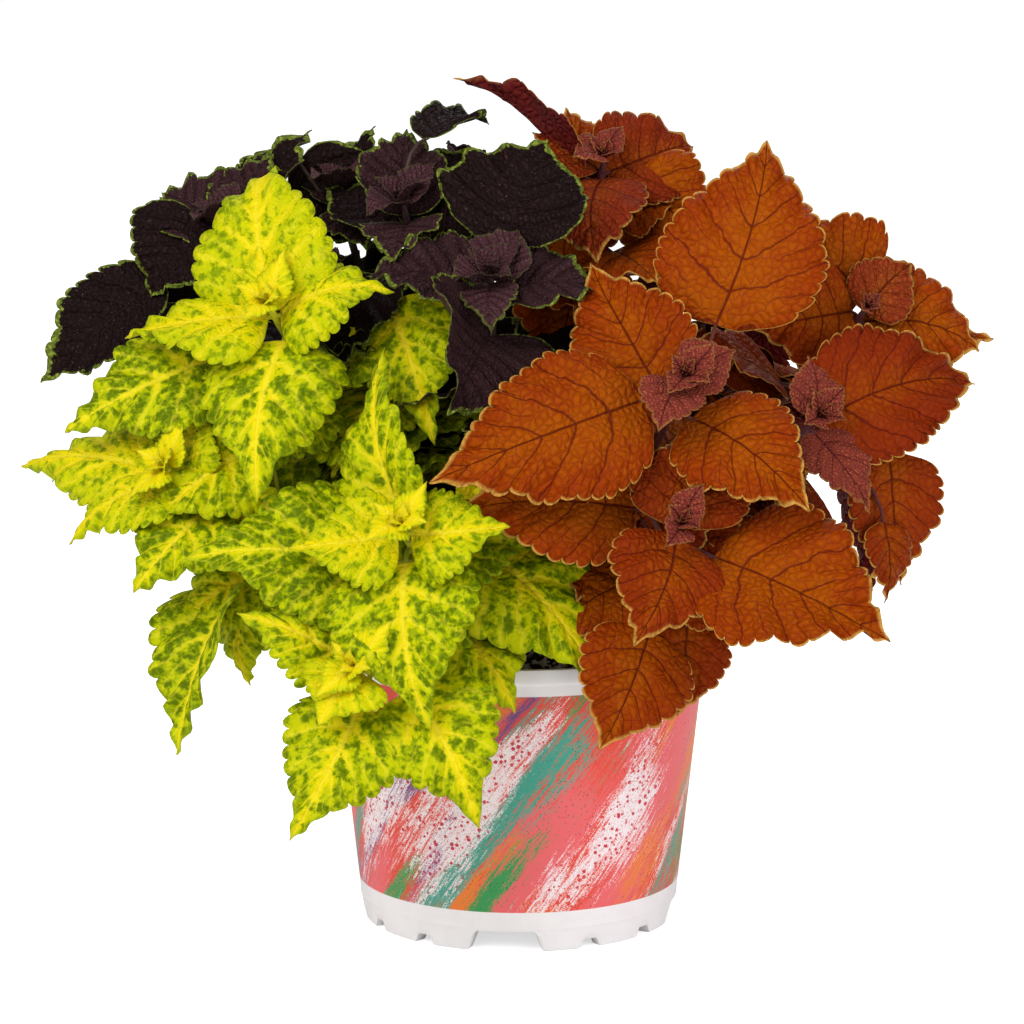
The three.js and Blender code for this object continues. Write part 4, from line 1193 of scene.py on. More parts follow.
def leaf_material(kind, colours):
    """The finish of one kind's leaves."""
    finish = LEAF_FINISHES[kind]

    def fill(nodes):
        p = nodes.outputs("ShaderNodeGroup", finish["pattern"], node_tree=leaf_pattern())
        colour = finish["colour"](nodes, p, colours)
        beneath = nodes.smooth(p["Top"], 0.0, 1.0, finish["underside"], 0.0)
        relief = p["Relief"]
        if finish["young_relief"] < 1:
            relief = relief * nodes.smooth(p["Age"], 0.0, 0.5, finish["young_relief"], 1.0)
        return {
            "Base Color": nodes.blend(beneath, colour, colours.underside),
            "Roughness": nodes.smooth(p["Patches"], 0.2, 0.8, *finish["roughness"]),
            "Normal": nodes.bump(relief, *finish["relief"]),
        }

    return principled(f"{kind} coleus leaf", fill, finish["specular"])


def stem_material(kind, colours):
    """The finish of one kind's stems and petioles: streaks along them, and fine hairs."""

    def fill(nodes):
        place = nodes.own_place()
        age, _, _ = nodes.parts(nodes.attribute("leaf_traits", "Vector"))
        streaks = nodes.noise(nodes.shift(place, (260, 260, 60)), 1.0, 3.0)
        streaked = nodes.smooth(streaks, 0.45, 0.7, 0.0, 0.6)
        colour = nodes.blend(age, colours.young_stem, colours.stem)
        hairs = nodes.noise(place, 1800.0, 1.0)
        return {
            "Base Color": nodes.blend(streaked, colour, colours.stem_streak),
            "Roughness": nodes.smooth(streaks, 0.3, 0.7, 0.5, 0.65),
            "Normal": nodes.bump(streaks + hairs * 0.4, 0.0004, 0.6),
        }

    return principled(f"{kind} coleus stem", fill, 0.3)


# ---- Pot and potting mix -----------------------------------------------------------------------------

# The pot's sizes. Its foot ring has four wide gaps and eight notches; turns are in degrees.
POT = {
    "height": 128, "foot_height": 10, "foot_radius": 68.5, "foot_inner_radius": 61, "base_radius": 70.2,
    "shoulder_radius": 82.6, "rim_below": 7, "rim_step": 1.1, "wall": 1.6, "floor": 2,
    "wide_gap_degrees": 20, "wide_gap_turn": -5, "wide_gap_depth": 9, "notch_degrees": 4.6,
    "notch_depth": 4, "notch_turns": (32, 58), "gap_chamfer": 5, "drain_radius": 5, "drain_circle": 44,
    "drains": 6, "band_low": 18, "band_high": 116,
}
SHOULDER = POT["height"] - POT["rim_below"]
WALL_SLOPE = (POT["shoulder_radius"] - POT["base_radius"]) / (SHOULDER - POT["foot_height"])
POT_STEPS = 720
DRAIN_SIDES = 24
SOIL_CROWN = 2.5
SOIL_GAP = 0.4
SOIL_STEPS = 120
SOIL_RINGS = 26


def wall_radius(z):
    """The outer radius of the pot's wall at a height."""
    share = (z - POT["foot_height"]) / (SHOULDER - POT["foot_height"])
    return POT["base_radius"] + (POT["shoulder_radius"] - POT["base_radius"]) * share


def revolved(rows, steps):
    """A closed shape round the pot's axis: rows of (radius, height) from the underside's middle, out,
    up and in to the top's middle. Either may be an array, one value for each step round."""
    angles = round_angles(steps)
    points, faces = [[[0, 0, rows[0][1]]]], []
    for radius, height in rows[1:-1]:
        heights = np.broadcast_to(height, steps)
        points.append(np.stack([radius * np.cos(angles), radius * np.sin(angles), heights], -1))
    points.append([[0, 0, rows[-1][1]]])
    last = 1 + steps * (len(rows) - 2)
    for k in range(steps):
        after = (k + 1) % steps
        faces.append([0, 1 + after, 1 + k])
        faces.append([last - steps + k, last - steps + after, last])
        for i in range(len(rows) - 3):
            a, b = 1 + i * steps + k, 1 + i * steps + after
            faces.append([a, b, b + steps, a + steps])
    return np.concatenate(points), faces


def foot_bottom(angles):
    """How high the pot's foot ring ends at each angle: 0 on a foot, more in the gaps between."""
    height = np.zeros_like(angles)

    def cut(degrees, depth, turn):
        """Cuts a gap with flared, rounded sides."""
        half_top = math.tan(math.radians(degrees / 2)) * POT["base_radius"]
        flare = min(POT["gap_chamfer"], depth * 0.6)
        centre = math.radians(turn - 90)
        off = abs((angles - centre + math.pi) % (2 * math.pi) - math.pi) * POT["base_radius"]
        rise = np.clip((half_top + flare - off) / flare, 0, 1)
        np.maximum(height, depth * rise**1.6 * (2.2 - 1.2 * rise), out=height)

    for quarter in range(4):
        turn = POT["wide_gap_turn"] + quarter * 90
        cut(POT["wide_gap_degrees"], POT["wide_gap_depth"], turn)
        for notch in POT["notch_turns"]:
            cut(POT["notch_degrees"], POT["notch_depth"], turn + notch)
    return height


def pot_mesh(settings):
    """The pot as one closed shape, from the middle of its underside round the rim to the middle inside."""
    base, height, wall = POT["base_radius"], POT["height"], POT["wall"]
    foot_top, inner, outer = POT["foot_height"], POT["foot_inner_radius"], POT["foot_radius"]
    bottom = foot_bottom(round_angles(POT_STEPS))

    def foot(share):
        """A height between the foot ring's bottom and its top."""
        return bottom + (foot_top - bottom) * share

    rows = [(radius, foot_top) for radius in (0, 20, 36, 52, inner - 0.6)]
    rows += [(inner, foot(0.95)), (inner + 0.9, foot(0.1)), (inner + 1.2, foot(0.03)), (inner + 1.7, foot(0))]
    rows += [(outer - 0.8, foot(0)), (outer - 0.2, foot(0.03)), (outer, foot(0.1))]
    rows += [(outer + (base - outer) * foot(share) / foot_top, foot(share)) for share in (0.4, 0.7, 0.93)]
    seam = settings.parting_line / MM
    rows += [(base + seam * 0.3, foot_top), (base + seam, foot_top + 0.25), (base + seam, foot_top + 0.6)]
    rows += [(wall_radius(z), z) for z in (foot_top + 1, 14, 18, 34, 50, 66, 82, 98, 116, SHOULDER - 0.5)]
    rim = POT["shoulder_radius"] + POT["rim_step"]
    rows += [(wall_radius(SHOULDER) + 0.15, SHOULDER), (rim - 0.25, SHOULDER + 0.5), (rim, SHOULDER + 0.9)]
    rows += [(rim + 0.1, SHOULDER + 2.5), (rim + 0.4, height - 1), (rim + 0.25, height - 0.3)]
    rows += [(rim - 0.3, height), (rim - wall - 0.1, height), (rim - wall - 0.5, height - 0.3)]
    rows += [(rim - wall - 0.8, height - 1.2)]
    rows += [(wall_radius(z) - wall, z) for z in (SHOULDER - 1, 90, 50, 15)]
    floor = foot_top + POT["floor"]
    rows += [(wall_radius(floor) - wall - 0.3, floor + 1), (wall_radius(floor) - wall - 1.5, floor)]
    rows += [(radius, floor) for radius in (52, 36, 0)]
    return new_mesh("pot body", *revolved(rows, POT_STEPS))


def drain_cutter():
    """Plugs that cut the drain holes out of the pot's floor."""
    points, faces = [], []
    angles = round_angles(DRAIN_SIDES)
    out = np.stack([np.cos(angles), np.sin(angles), 0 * angles], -1) * POT["drain_radius"]
    for turn in round_angles(POT["drains"]):
        centre = np.array([math.cos(turn), math.sin(turn), 0]) * POT["drain_circle"]
        faces += [[a + len(points) for a in face] for face in tube_faces(2, DRAIN_SIDES)]
        for z in (POT["foot_height"] - 2, POT["foot_height"] + POT["floor"] + 2):
            points += (centre + out + UP * z).tolist()
    return place("drain plugs", new_mesh("drain plugs", points, faces))


def evaluated_mesh(piece):
    """A new mesh of an object with its modifiers."""
    return bpy.data.meshes.new_from_object(piece.evaluated_get(bpy.context.evaluated_depsgraph_get()))


def lumps(angles, radius):
    """Lumps over a ring of the soil's surface, the same each time."""
    seed, scale, height = 3.7, 0.14, 1.6
    x, y = radius * np.cos(angles) * scale, radius * np.sin(angles) * scale
    return np.array([noise.fractal(Vector((a, b, seed)), 1.0, 2.0, 4) for a, b in zip(x, y)]) * height


def mix_surface():
    """The plug of potting mix: flat sides and bottom, and a crumbly mound on top."""
    angles = round_angles(SOIL_STEPS)
    gap = POT["wall"] + SOIL_GAP
    bottom = POT["foot_height"] + POT["floor"] + SOIL_GAP
    rows = [(0, bottom), (30, bottom), (wall_radius(bottom) - gap - 1.5, bottom)]
    rows += [(wall_radius(z) - gap, z) for z in (bottom + 1, 40, 75, SOIL_TOP - 2)]
    rim = wall_radius(SOIL_TOP) - gap
    rows.append((rim, SOIL_TOP - 0.8))
    for share in np.linspace(1, 0.03, SOIL_RINGS)[1:]:
        crown = SOIL_CROWN * math.cos(share * math.pi / 2)
        rows.append((rim * share, SOIL_TOP + crown + lumps(angles, rim * share)))
    rows.append((0, SOIL_TOP + SOIL_CROWN))
    mesh = new_mesh("mix surface", *revolved(rows, SOIL_STEPS))
    mesh.shade_smooth()
    return mesh


def bits_tree():
    """Geometry nodes that strew small uneven bits over the upward faces of a mesh, built once."""
    name = "strewn bits"
    if name in bpy.data.node_groups:
        return bpy.data.node_groups[name]
    tree = bpy.data.node_groups.new(name, "GeometryNodeTree")
    sockets = (
        ("Surface", "NodeSocketGeometry", None), ("Bits per Square Metre", "NodeSocketFloat", 20000.0),
        ("Bit Size", "NodeSocketFloat", 0.002), ("Flatness", "NodeSocketFloat", 0.5),
        ("Seed", "NodeSocketInt", 1), ("Finish", "NodeSocketMaterial", None),
    )
    for label, kind, default in sockets:
        socket = tree.interface.new_socket(label, in_out="INPUT", socket_type=kind)
        if default is not None:
            socket.default_value = default
    tree.interface.new_socket("Bits", in_out="OUTPUT", socket_type="NodeSocketGeometry")
    nodes = Nodes(tree)
    given = nodes.outputs("NodeGroupInput")

    upward = nodes.parts(nodes.get("GeometryNodeInputNormal", 0))[2]
    steepest = {0: upward, 1: 0.6}
    faces_up = nodes.get("FunctionNodeCompare", 0, steepest, data_type="FLOAT", operation="GREATER_THAN")
    strewing = {
        "Mesh": given["Surface"], "Selection": faces_up, "Density": given["Bits per Square Metre"],
        "Seed": given["Seed"],
    }
    points = nodes.get("GeometryNodeDistributePointsOnFaces", 0, strewing)

    def random_vector(least, most):
        """A random vector for each bit."""
        inputs = {0: least, 1: most, "Seed": given["Seed"]}
        return nodes.get("FunctionNodeRandomValue", 0, inputs, data_type="FLOAT_VECTOR")

    bit = nodes.get("GeometryNodeMeshIcoSphere", 0, {"Radius": given["Bit Size"], "Subdivisions": 1})
    largest = nodes.vector(1.5, 0.95, given["Flatness"])
    placing = {
        "Points": points, "Instance": bit, "Scale": random_vector((0.45, 0.35, 0.25), largest),
        "Rotation": random_vector((0, 0, 0), (0.9, 0.9, 6.28)),
    }
    strewn = nodes.get("GeometryNodeInstanceOnPoints", 0, placing)
    real = nodes.get("GeometryNodeRealizeInstances", 0, {0: strewn})
    finished = nodes.get("GeometryNodeSetMaterial", 0, {0: real, "Material": given["Finish"]})
    nodes.make("NodeGroupOutput", {0: finished})
    return tree


def strewn_bits(surface, values):
    """The mesh of the bits that the tree strews over an object, with values for its inputs by name."""
    tree = bits_tree()
    modifier = surface.modifiers.new("strewn bits", "NODES")
    modifier.node_group = tree
    for label, value in values.items():
        modifier[tree.interface.items_tree[label].identifier] = value
    surface.update_tag()
    mesh = evaluated_mesh(surface)
    surface.modifiers.remove(modifier)
    return mesh


def joined(name, meshes):
    """One mesh of several, each with the material of its own first slot."""
    shape = bmesh.new()
    whole = bpy.data.meshes.new(name)
    for slot, mesh in enumerate(meshes):
        seen = len(shape.faces)
        shape.from_mesh(mesh)
        shape.faces.ensure_lookup_table()
        for face in shape.faces[seen:]:
            face.material_index = slot
    shape.to_mesh(whole)
    shape.free()
    for mesh in meshes:
        whole.materials.append(mesh.materials[0])
    return whole


# ---- Finishes of the pot, the mix and the floor ------------------------------------------------------

# The colours of the printed band's strokes, each over the ones before: where each starts in the noise, the
# noise's scale, and the values of the noise between which it comes in.
STROKES = (
    ("amber", (11, 7, 2), 0.3, 0.55, 0.6),
    ("violet", (5, 19, 8), 0.3, 0.58, 0.62),
    ("teal", (23, 3, 15), 0.3, 0.62, 0.66),
    ("leaf_green", (2, 31, 6), 0.3, 0.64, 0.68),
)


def printed_colour(nodes, place, z, grain, colours):
    """Slanting brush strokes, with clearings of red specks on a pale ground, and fine dark dots."""
    turned_place = {"Vector": place, "Angle": z * -0.1}
    slanted = nodes.get("ShaderNodeVectorRotate", 0, turned_place, rotation_type="Z_AXIS")
    bristles = nodes.noise(nodes.shift(slanted, (1, 1, 0.1)), 7.0, 3.0, 0.7) - 0.5
    scatter = bristles * 0.4 + grain * 0.34

    def patch(start, scale, low, high):
        """Where one colour's strokes lie."""
        cloud = nodes.noise(nodes.shift(slanted, (1, 1, 0.32), start), scale, 2.0, 0.5)
        return nodes.smooth(cloud + scatter, low, high)

    colour = nodes.blend(patch((3, 1, 4), 0.3, 0.44, 0.54), colours.coral, colours.pink)
    for name, *where in STROKES:
        colour = nodes.blend(patch(*where), colour, getattr(colours, name))

    clearing = patch((9, 27, 3), 0.26, 0.52, 0.56)
    specks = nodes.cells(nodes.shift(place, (4.2, 4.2, 4.2)), 1.0)
    blot = nodes.fade(specks["Distance"] + nodes.chance(specks) * -0.34 + grain * 0.6, 0.08, 0.12)
    dust = nodes.cells(nodes.shift(place, (11, 11, 11)), 1.0)["Distance"]
    dust = nodes.fade(dust + grain * 0.9, 0.22, 0.3)
    open_ground = nodes.blend(nodes.larger(blot, dust * 0.75), colours.ground, colours.speck)
    colour = nodes.blend(clearing, colour, open_ground)

    dots = nodes.cells(nodes.shift(place, (6.5, 6.5, 6.5), (4, 4, 4)), 1.0)["Distance"]
    dots = nodes.fade(dots, 0.15, 0.2) * nodes.smooth(nodes.noise(place, 0.6, 2.0), 0.4, 0.55)
    return nodes.blend(dots * nodes.smooth(clearing, 0.0, 1.0, 0.75, 0.1), colour, colours.dark_dot)


def pot_material(colours):
    """White moulded plastic with a printed band on the outside of the wall. Places are centimetres."""

    def fill(nodes):
        to_axis = (-POT_AXIS.x / 10, -POT_AXIS.y / 10, 0)
        place = nodes.shift(nodes.own_place(), (100, 100, 100), to_axis)
        x, y, z = nodes.parts(place)
        radius = nodes.get("ShaderNodeVectorMath", "Value", {0: nodes.vector(x, y)}, operation="LENGTH")
        wall = z * WALL_SLOPE + (POT["base_radius"] - POT["foot_height"] * WALL_SLOPE) / 10
        outside = nodes.smooth(radius - wall, -0.1, -0.05)
        low, high = POT["band_low"] / 10, POT["band_high"] / 10
        band = nodes.smooth(z, low, low + 0.03) * nodes.fade(z, high - 0.03, high) * outside
        grain = nodes.noise(place, 26.0, 2.0, 0.7) - 0.5
        printed = printed_colour(nodes, place, z, grain, colours)
        mottle = nodes.smooth(nodes.noise(place, 1.4, 3.0), 0.3, 0.7, 0.0, 0.35)
        plastic = nodes.blend(mottle, colours.plastic, colours.shade)
        scuff = nodes.noise(nodes.shift(place, (1.0, 1.0, 7.0)), 6.0, 4.0, 0.65)
        return {
            "Base Color": nodes.blend(band, plastic, printed),
            "Roughness": nodes.smooth(scuff, 0.35, 0.75, 0.3, 0.46) + band * 0.06,
            "Normal": nodes.bump(scuff * 0.5 + grain * 0.6, 0.00012, 0.35),
        }

    return principled("printed pot plastic", fill, 0.42)


def mix_material(colours):
    """Dark peat with bark crumbs and pale fibres."""

    def fill(nodes):
        place = nodes.own_place()
        crumbs = nodes.cells(place, 520.0)
        fibre = nodes.noise(nodes.shift(place, (500, 180, 700)), 1.0, 5.0, 0.7)
        colour = nodes.blend(nodes.smooth(nodes.chance(crumbs), 0.0, 1.0), colours.peat, colours.bark)
        return {
            "Base Color": nodes.blend(nodes.smooth(fibre, 0.56, 0.7, 0.0, 0.7), colour, colours.fibre),
            "Roughness": nodes.smooth(fibre, 0.3, 0.7, 0.8, 0.97),
            "Normal": nodes.bump(crumbs["Distance"] * -1.0 + fibre, 0.0012, 0.9),
        }

    return principled("potting mix", fill, 0.25)


def perlite_material(colours):
    """White porous grains."""

    def fill(nodes):
        pores = nodes.noise(nodes.own_place(), 1500.0, 4.0, 0.7)
        stain = nodes.smooth(pores, 0.4, 0.7, 0.0, 0.5)
        return {
            "Base Color": nodes.blend(stain, colours.perlite, colours.fibre),
            "Roughness": nodes.smooth(pores, 0.3, 0.7, 0.75, 0.95),
            "Normal": nodes.bump(pores, 0.0005, 0.8),
        }

    return principled("perlite", fill, 0.3)


def floor_material(settings):
    """A matt floor that looks white to the camera and catches soft shadows."""

    def fill(nodes):
        haze = nodes.noise(nodes.own_place(), 2.0, 2.0)
        stain = nodes.smooth(haze, 0.3, 0.7, 0.0, 0.15)
        return {
            "Base Color": nodes.blend(stain, settings.floor_colour, rgb(240, 240, 240)),
            "Roughness": nodes.smooth(haze, 0.3, 0.7, 0.85, 0.95),
            "Emission Color": nodes.get("ShaderNodeLightPath", "Is Camera Ray"),
            "Emission Strength": 0.6,
        }

    return principled("studio floor", fill, 0.1)


# ---- Settings ----------------------------------------------------------------------------------------


def length_property(name, description, default):
    """A setting in metres."""
    return FloatProperty(
        name=name, description=description, default=default, min=0, unit="LENGTH", precision=5
    )


def power_property(name, description, default):
    """A setting in watts."""
    return FloatProperty(name=name, description=description, default=default, min=0, unit="POWER")


def colour_property(name, description, *screen):
    """A colour, with its usual value given as screen values."""
    return FloatVectorProperty(
        name=name, description=description, default=rgb(*screen), size=4, min=0, max=1, subtype="COLOR"
    )


class PotSettings(bpy.types.PropertyGroup):
    """The pot's parting line, its plastic and the colours of its printed band"""

    parting_line: length_property("Parting line", "How far the mould's parting line stands out", 0.00022)
    plastic: colour_property("Plastic", "Colour of the plain plastic", 252, 249, 250)
    shade: colour_property("Plastic shade", "Colour of the plastic's faint mottling", 242, 237, 240)
    coral: colour_property("Coral", "Main colour of the printed band", 238, 74, 52)
    pink: colour_property("Pink", "Pink of the printed band", 244, 104, 108)
    amber: colour_property("Amber", "Orange strokes of the printed band", 246, 130, 44)
    violet: colour_property("Violet", "Violet strokes of the printed band", 112, 74, 138)
    teal: colour_property("Teal", "Teal strokes of the printed band", 60, 164, 142)
    leaf_green: colour_property("Green", "Green strokes of the printed band", 54, 156, 84)
    ground: colour_property("Ground", "Pale ground of the speckled clearings", 255, 240, 242)
    speck: colour_property("Specks", "Red specks of the clearings", 208, 44, 66)
    dark_dot: colour_property("Dark dots", "Fine dark dots over the patches", 60, 48, 62)


class MixSettings(bpy.types.PropertyGroup):
    """The sizes and colours of the bits in the potting mix"""

    bark_size: length_property("Bark size", "Half the length of a bark chip", 0.0021)
    perlite_size: length_property("Perlite size", "Half the length of a grain of perlite", 0.0012)
    peat: colour_property("Peat", "Colour of the dark peat", 38, 27, 20)
    bark: colour_property("Bark", "Colour of the bark chips", 84, 58, 40)
    fibre: colour_property("Fibre", "Colour of pale fibres", 128, 96, 66)
    perlite: colour_property("Perlite", "Colour of the perlite grains", 226, 220, 206)


def foliage_settings(class_name, kind, colours):
    """A property group for one kind of coleus, with its blade's sizes and its colours."""
    blade = BLADES[kind]
    fields = {
        name: length_property(name.replace("_", " ").capitalize(), description, blade[name] * MM)
        for name, description in (
            ("tooth_depth", "How deep the teeth of a full leaf are"),
            ("tooth_pitch", "Distance from tooth to tooth"),
            ("puff", "How far the blade swells between its veins"),
        )
    }
    fields["ruffle"] = FloatProperty(
        name="Ruffle", description="How far the edge waves, as a share of half the width",
        default=blade["ruffle"], min=0, max=1, subtype="FACTOR",
    )
    for label, screen in colours.items():
        words = label.replace("_", " ")
        fields[label] = colour_property(words.capitalize(), f"Colour of the {kind} plant: {words}", *screen)
    return type(class_name, (bpy.types.PropertyGroup,), {"__annotations__": fields})


LimeSettings = foliage_settings("LimeSettings", "lime", {
    "yellow": (234, 214, 4), "light_green": (192, 197, 2), "green": (144, 161, 0), "deep_green": (94, 114, 0),
    "vein": (238, 220, 48), "edge": (156, 176, 24), "underside": (158, 166, 42), "stem": (154, 160, 36),
    "young_stem": (202, 200, 30), "stem_streak": (116, 122, 30),
})
# The dark plant's vein colour also paints the sheen on its leaves' raised cells.
DarkSettings = foliage_settings("DarkSettings", "dark", {
    "chocolate": (32, 18, 17), "black": (22, 12, 12), "vein": (52, 34, 35), "young": (98, 60, 66),
    "young_hair": (142, 106, 112), "margin": (144, 158, 58), "margin_deep": (100, 114, 40),
    "young_margin": (96, 98, 54), "underside": (80, 50, 56), "stem": (66, 54, 36), "young_stem": (76, 48, 54),
    "stem_streak": (48, 30, 34),
})
OrangeSettings = foliage_settings("OrangeSettings", "orange", {
    "orange": (168, 79, 0), "rust": (152, 55, 0), "red": (128, 35, 6), "vein": (92, 18, 12),
    "young": (150, 62, 54), "young_cell": (184, 98, 60), "young_vein": (92, 30, 36), "edge": (226, 172, 80),
    "underside": (96, 24, 34), "stem": (100, 44, 34), "young_stem": (90, 40, 46), "stem_streak": (66, 24, 30),
})


class StageSettings(bpy.types.PropertyGroup):
    """The studio's floor, lights and sky"""

    floor_colour: colour_property("Floor", "Colour of the studio floor", 252, 252, 252)
    key_power: power_property("Key light", "Power of the large soft light", 40)
    fill_power: power_property("Fill light", "Power of the fill light", 12)
    back_power: power_property("Back light", "Power of the light behind", 10)
    sky: FloatProperty(name="Sky", description="Strength of the even light all round", default=0.54, min=0)
    gloss: FloatProperty(
        name="Sky in gloss", description="Strength of the sky seen in shiny faces", default=0.06, min=0
    )


# ---- Operators ---------------------------------------------------------------------------------------


class COLEUS_OT_pot(bpy.types.Operator):
    """Make the pot: tapered wall, rim, feet, drain holes and its printed band"""

    bl_idname = "coleus.pot"
    bl_label = "Pot"

    def execute(self, context):
        settings = context.scene.coleus_pot
        body = place("pot body", pot_mesh(settings))
        plugs = drain_cutter()
        modifier = body.modifiers.new("drain holes", "BOOLEAN")
        modifier.object, modifier.solver, modifier.operation = plugs, "EXACT", "DIFFERENCE"
        mesh = evaluated_mesh(body)
        for spare in (body, plugs):
            bpy.data.objects.remove(spare)
        mesh.materials.clear()
        mesh.materials.append(pot_material(settings))
        mesh.shade_smooth()
        mesh.set_sharp_from_angle(angle=math.radians(40))
        piece = place("nursery_pot", mesh)
        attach(piece, ROOT_BODY)
        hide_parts("pot")
        return {"FINISHED"}


class COLEUS_OT_mix(bpy.types.Operator):
    """Make the potting mix: a crumbly mound with bark chips and perlite"""

    bl_idname = "coleus.mix"
    bl_label = "Potting mix"

    def execute(self, context):
        settings = context.scene.coleus_mix
        mix, perlite = mix_material(settings), perlite_material(settings)
        surface = place("mix surface", mix_surface())
        surface.data.materials.append(mix)
        chips = strewn_bits(surface, {
            "Bits per Square Metre": 62000.0, "Bit Size": settings.bark_size, "Flatness": 0.5, "Seed": 5,
            "Finish": mix,
        })
        grains = strewn_bits(surface, {
            "Bits per Square Metre": 9000.0, "Bit Size": settings.perlite_size, "Flatness": 1.0, "Seed": 9,
            "Finish": perlite,
        })
        whole = joined("potting_mix", (surface.data, chips, grains))
        bpy.data.objects.remove(surface)
        piece = place("potting_mix", whole)
        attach(piece, ROOT_BODY)
        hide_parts("soil")
        return {"FINISHED"}


def grow(kind, settings):
    """Every leafy stem of one kind, each a piece that stands for its node."""
    BLADES[kind].update(
        tooth_depth=settings.tooth_depth / MM, tooth_pitch=settings.tooth_pitch / MM,
        puff=settings.puff / MM, ruffle=settings.ruffle,
    )
    finishes = (leaf_material(kind, settings), stem_material(kind, settings))
    for order, (node, (stem, leaves)) in enumerate(all_shoots().items()):
        if not node.startswith(kind):
            continue
        draw = seeded_draw(order * 97 + 13)
        parts = MeshParts()
        add_stem(parts, stem)
        for leaf in leaves:
            leaf["age"] += vary(draw, "age")
            add_leaf(parts, leaf, kind, draw)
        for leaf in inner_leaves(stem, draw):
            add_leaf(parts, leaf, kind, draw, "inner")
        for leaf, grid in young_leaves(stem, kind, YOUNG_SHARES.get(node, 1), draw):
            add_leaf(parts, leaf, kind, draw, grid)
        piece = parts.build(node.replace("stem", "shoot"), finishes)
        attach(piece, ROOT_BODY)
        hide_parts(node)


class COLEUS_OT_lime(bpy.types.Operator):
    """Make the lime coleus, yellow-veined with large forward teeth"""

    bl_idname = "coleus.lime"
    bl_label = "Lime coleus"

    def execute(self, context):
        grow("lime", context.scene.coleus_lime)
        return {"FINISHED"}


class COLEUS_OT_dark(bpy.types.Operator):
    """Make the dark coleus, near black with a ragged lime margin"""

    bl_idname = "coleus.dark"
    bl_label = "Dark coleus"

    def execute(self, context):
        grow("dark", context.scene.coleus_dark)
        return {"FINISHED"}


class COLEUS_OT_orange(bpy.types.Operator):
    """Make the orange coleus, with dark red veins and a thin pale edge"""

    bl_idname = "coleus.orange"
    bl_label = "Orange coleus"

    def execute(self, context):
        grow("orange", context.scene.coleus_orange)
        return {"FINISHED"}


def aim(piece, target):
    """Turns a light or camera towards a point."""
    piece.rotation_mode = "QUATERNION"
    piece.rotation_quaternion = (target - piece.location).to_track_quat("-Z", "Y")


def studio_sky(settings):
    """White behind everything, softer as a light, and faint in glossy faces."""
    world = bpy.data.worlds.new("even studio light")
    world.use_nodes = True
    world.node_tree.nodes.clear()
    nodes = Nodes(world.node_tree)
    path = nodes.outputs("ShaderNodeLightPath")
    strength = nodes.smooth(path["Is Glossy Ray"], 0.0, 1.0, settings.sky, settings.gloss)
    strength = nodes.larger(strength, path["Is Camera Ray"])
    sky = nodes.get("ShaderNodeBackground", 0, {"Color": (1, 1, 1, 1), "Strength": strength})
    nodes.make("ShaderNodeOutputWorld", {"Surface": sky})
    return world


# Half the floor's width and the point that the lights aim at, in metres, and the width of the camera's
# sensor in millimetres.
FLOOR_HALF = 6
LIGHTS_AIM = (0, 0, 0.18)
SENSOR_WIDTH = 36


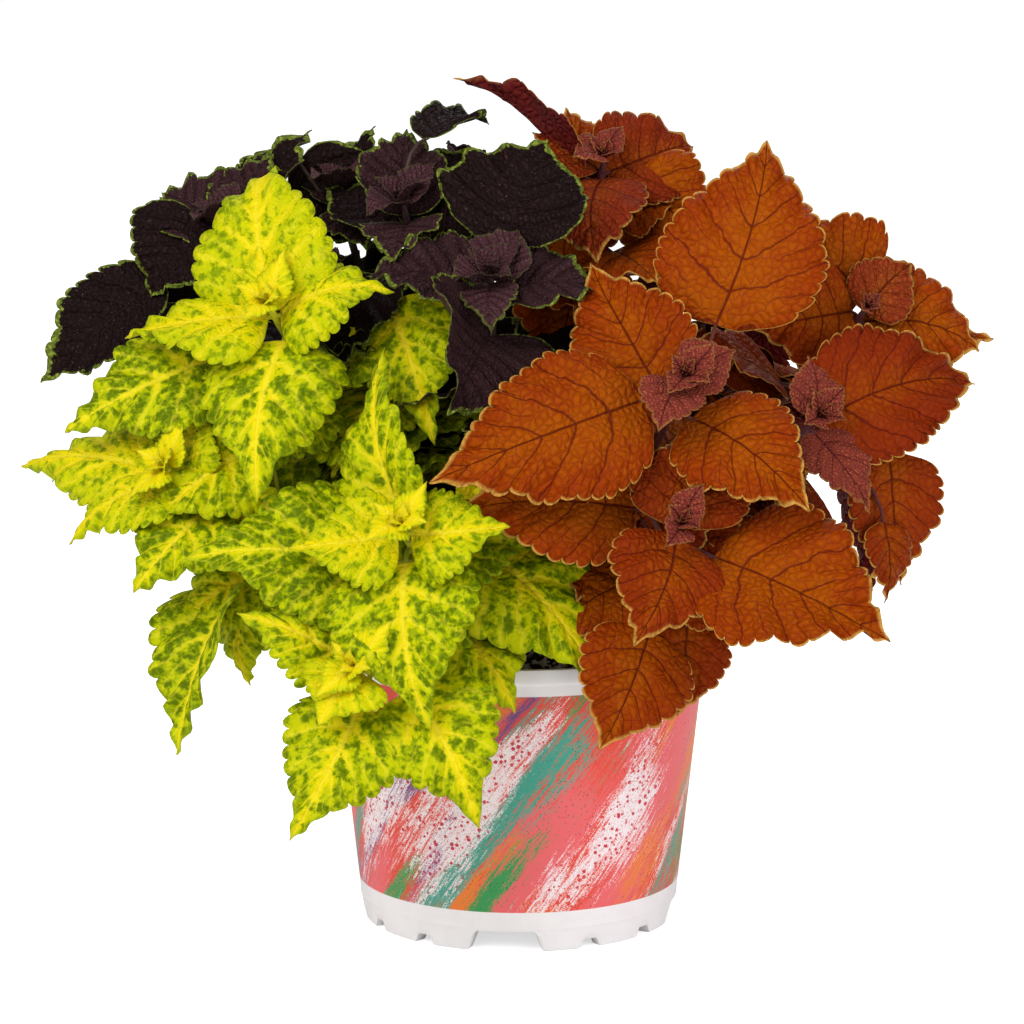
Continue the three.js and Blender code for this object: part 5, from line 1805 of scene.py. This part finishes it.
class COLEUS_OT_stage(bpy.types.Operator):
    """Make the plain floor, the soft lights and the camera"""

    bl_idname = "coleus.stage"
    bl_label = "Stage"

    def execute(self, context):
        settings, scene = context.scene.coleus_stage, context.scene
        mesh = bpy.data.meshes.new("floor")
        corners = [(x * FLOOR_HALF, y * FLOOR_HALF, 0) for x, y in ((-1, -1), (1, -1), (1, 1), (-1, 1))]
        mesh.from_pydata(corners, [], [(0, 1, 2, 3)])
        mesh.materials.append(floor_material(settings))
        floor = place("floor", mesh)

        # Name, place, size and power.
        lights = (
            ("key light", (-1.1, -1.7, 1.9), 1.6, settings.key_power),
            ("fill light", (1.7, -1.3, 1.0), 1.4, settings.fill_power),
            ("back light", (0.4, 1.8, 1.6), 1.2, settings.back_power),
        )
        for name, where, size, power in lights:
            data = bpy.data.lights.new(name, "AREA")
            data.energy, data.size = power, size
            light = place(name, data)
            light.location = where
            aim(light, Vector(LIGHTS_AIM))

        scene.world = studio_sky(settings)
        scene.view_settings.view_transform = "Standard"

        data = bpy.data.cameras.new("camera")
        data.lens, data.sensor_width = CAMERA_LENS, SENSOR_WIDTH
        camera = place("camera", data)
        camera.location = Vector(VIEWPOINT) * MM + POT_AXIS_POINT
        aim(camera, Vector((VIEWPOINT[0], 0, CAMERA_TARGET)) * MM + POT_AXIS_POINT)
        scene.camera = camera
        return {"FINISHED"}


class COLEUS_PT_panel(bpy.types.Panel):
    """Makes the pot of coleus piece by piece"""

    bl_idname = "COLEUS_PT_panel"
    bl_label = "Coleus trio"
    bl_space_type = "VIEW_3D"
    bl_region_type = "UI"
    bl_category = "Coleus"

    def draw(self, context):
        for operator in OPERATORS:
            self.layout.operator(operator.bl_idname)

SETTINGS = {
    "coleus_pot": PotSettings,
    "coleus_mix": MixSettings,
    "coleus_lime": LimeSettings,
    "coleus_dark": DarkSettings,
    "coleus_orange": OrangeSettings,
    "coleus_stage": StageSettings,
}
OPERATORS = (
    COLEUS_OT_stage, COLEUS_OT_pot, COLEUS_OT_mix, COLEUS_OT_lime, COLEUS_OT_dark, COLEUS_OT_orange,
)


def register():
    """Adds the settings, the operators and the panel."""
    for name, group in SETTINGS.items():
        bpy.utils.register_class(group)
        setattr(bpy.types.Scene, name, PointerProperty(type=group))
    for kind in (*OPERATORS, COLEUS_PT_panel):
        bpy.utils.register_class(kind)


def unregister():
    """Takes away what register adds, in the opposite order."""
    for kind in (COLEUS_PT_panel, *reversed(OPERATORS)):
        bpy.utils.unregister_class(kind)
    for name, group in SETTINGS.items():
        delattr(bpy.types.Scene, name)
        bpy.utils.unregister_class(group)


def main():
    """Makes every piece and the stage."""
    register()
    bpy.ops.coleus.stage()
    bpy.ops.coleus.pot()
    bpy.ops.coleus.mix()
    bpy.ops.coleus.lime()
    bpy.ops.coleus.dark()
    bpy.ops.coleus.orange()


if __name__ == "__main__":
    main()
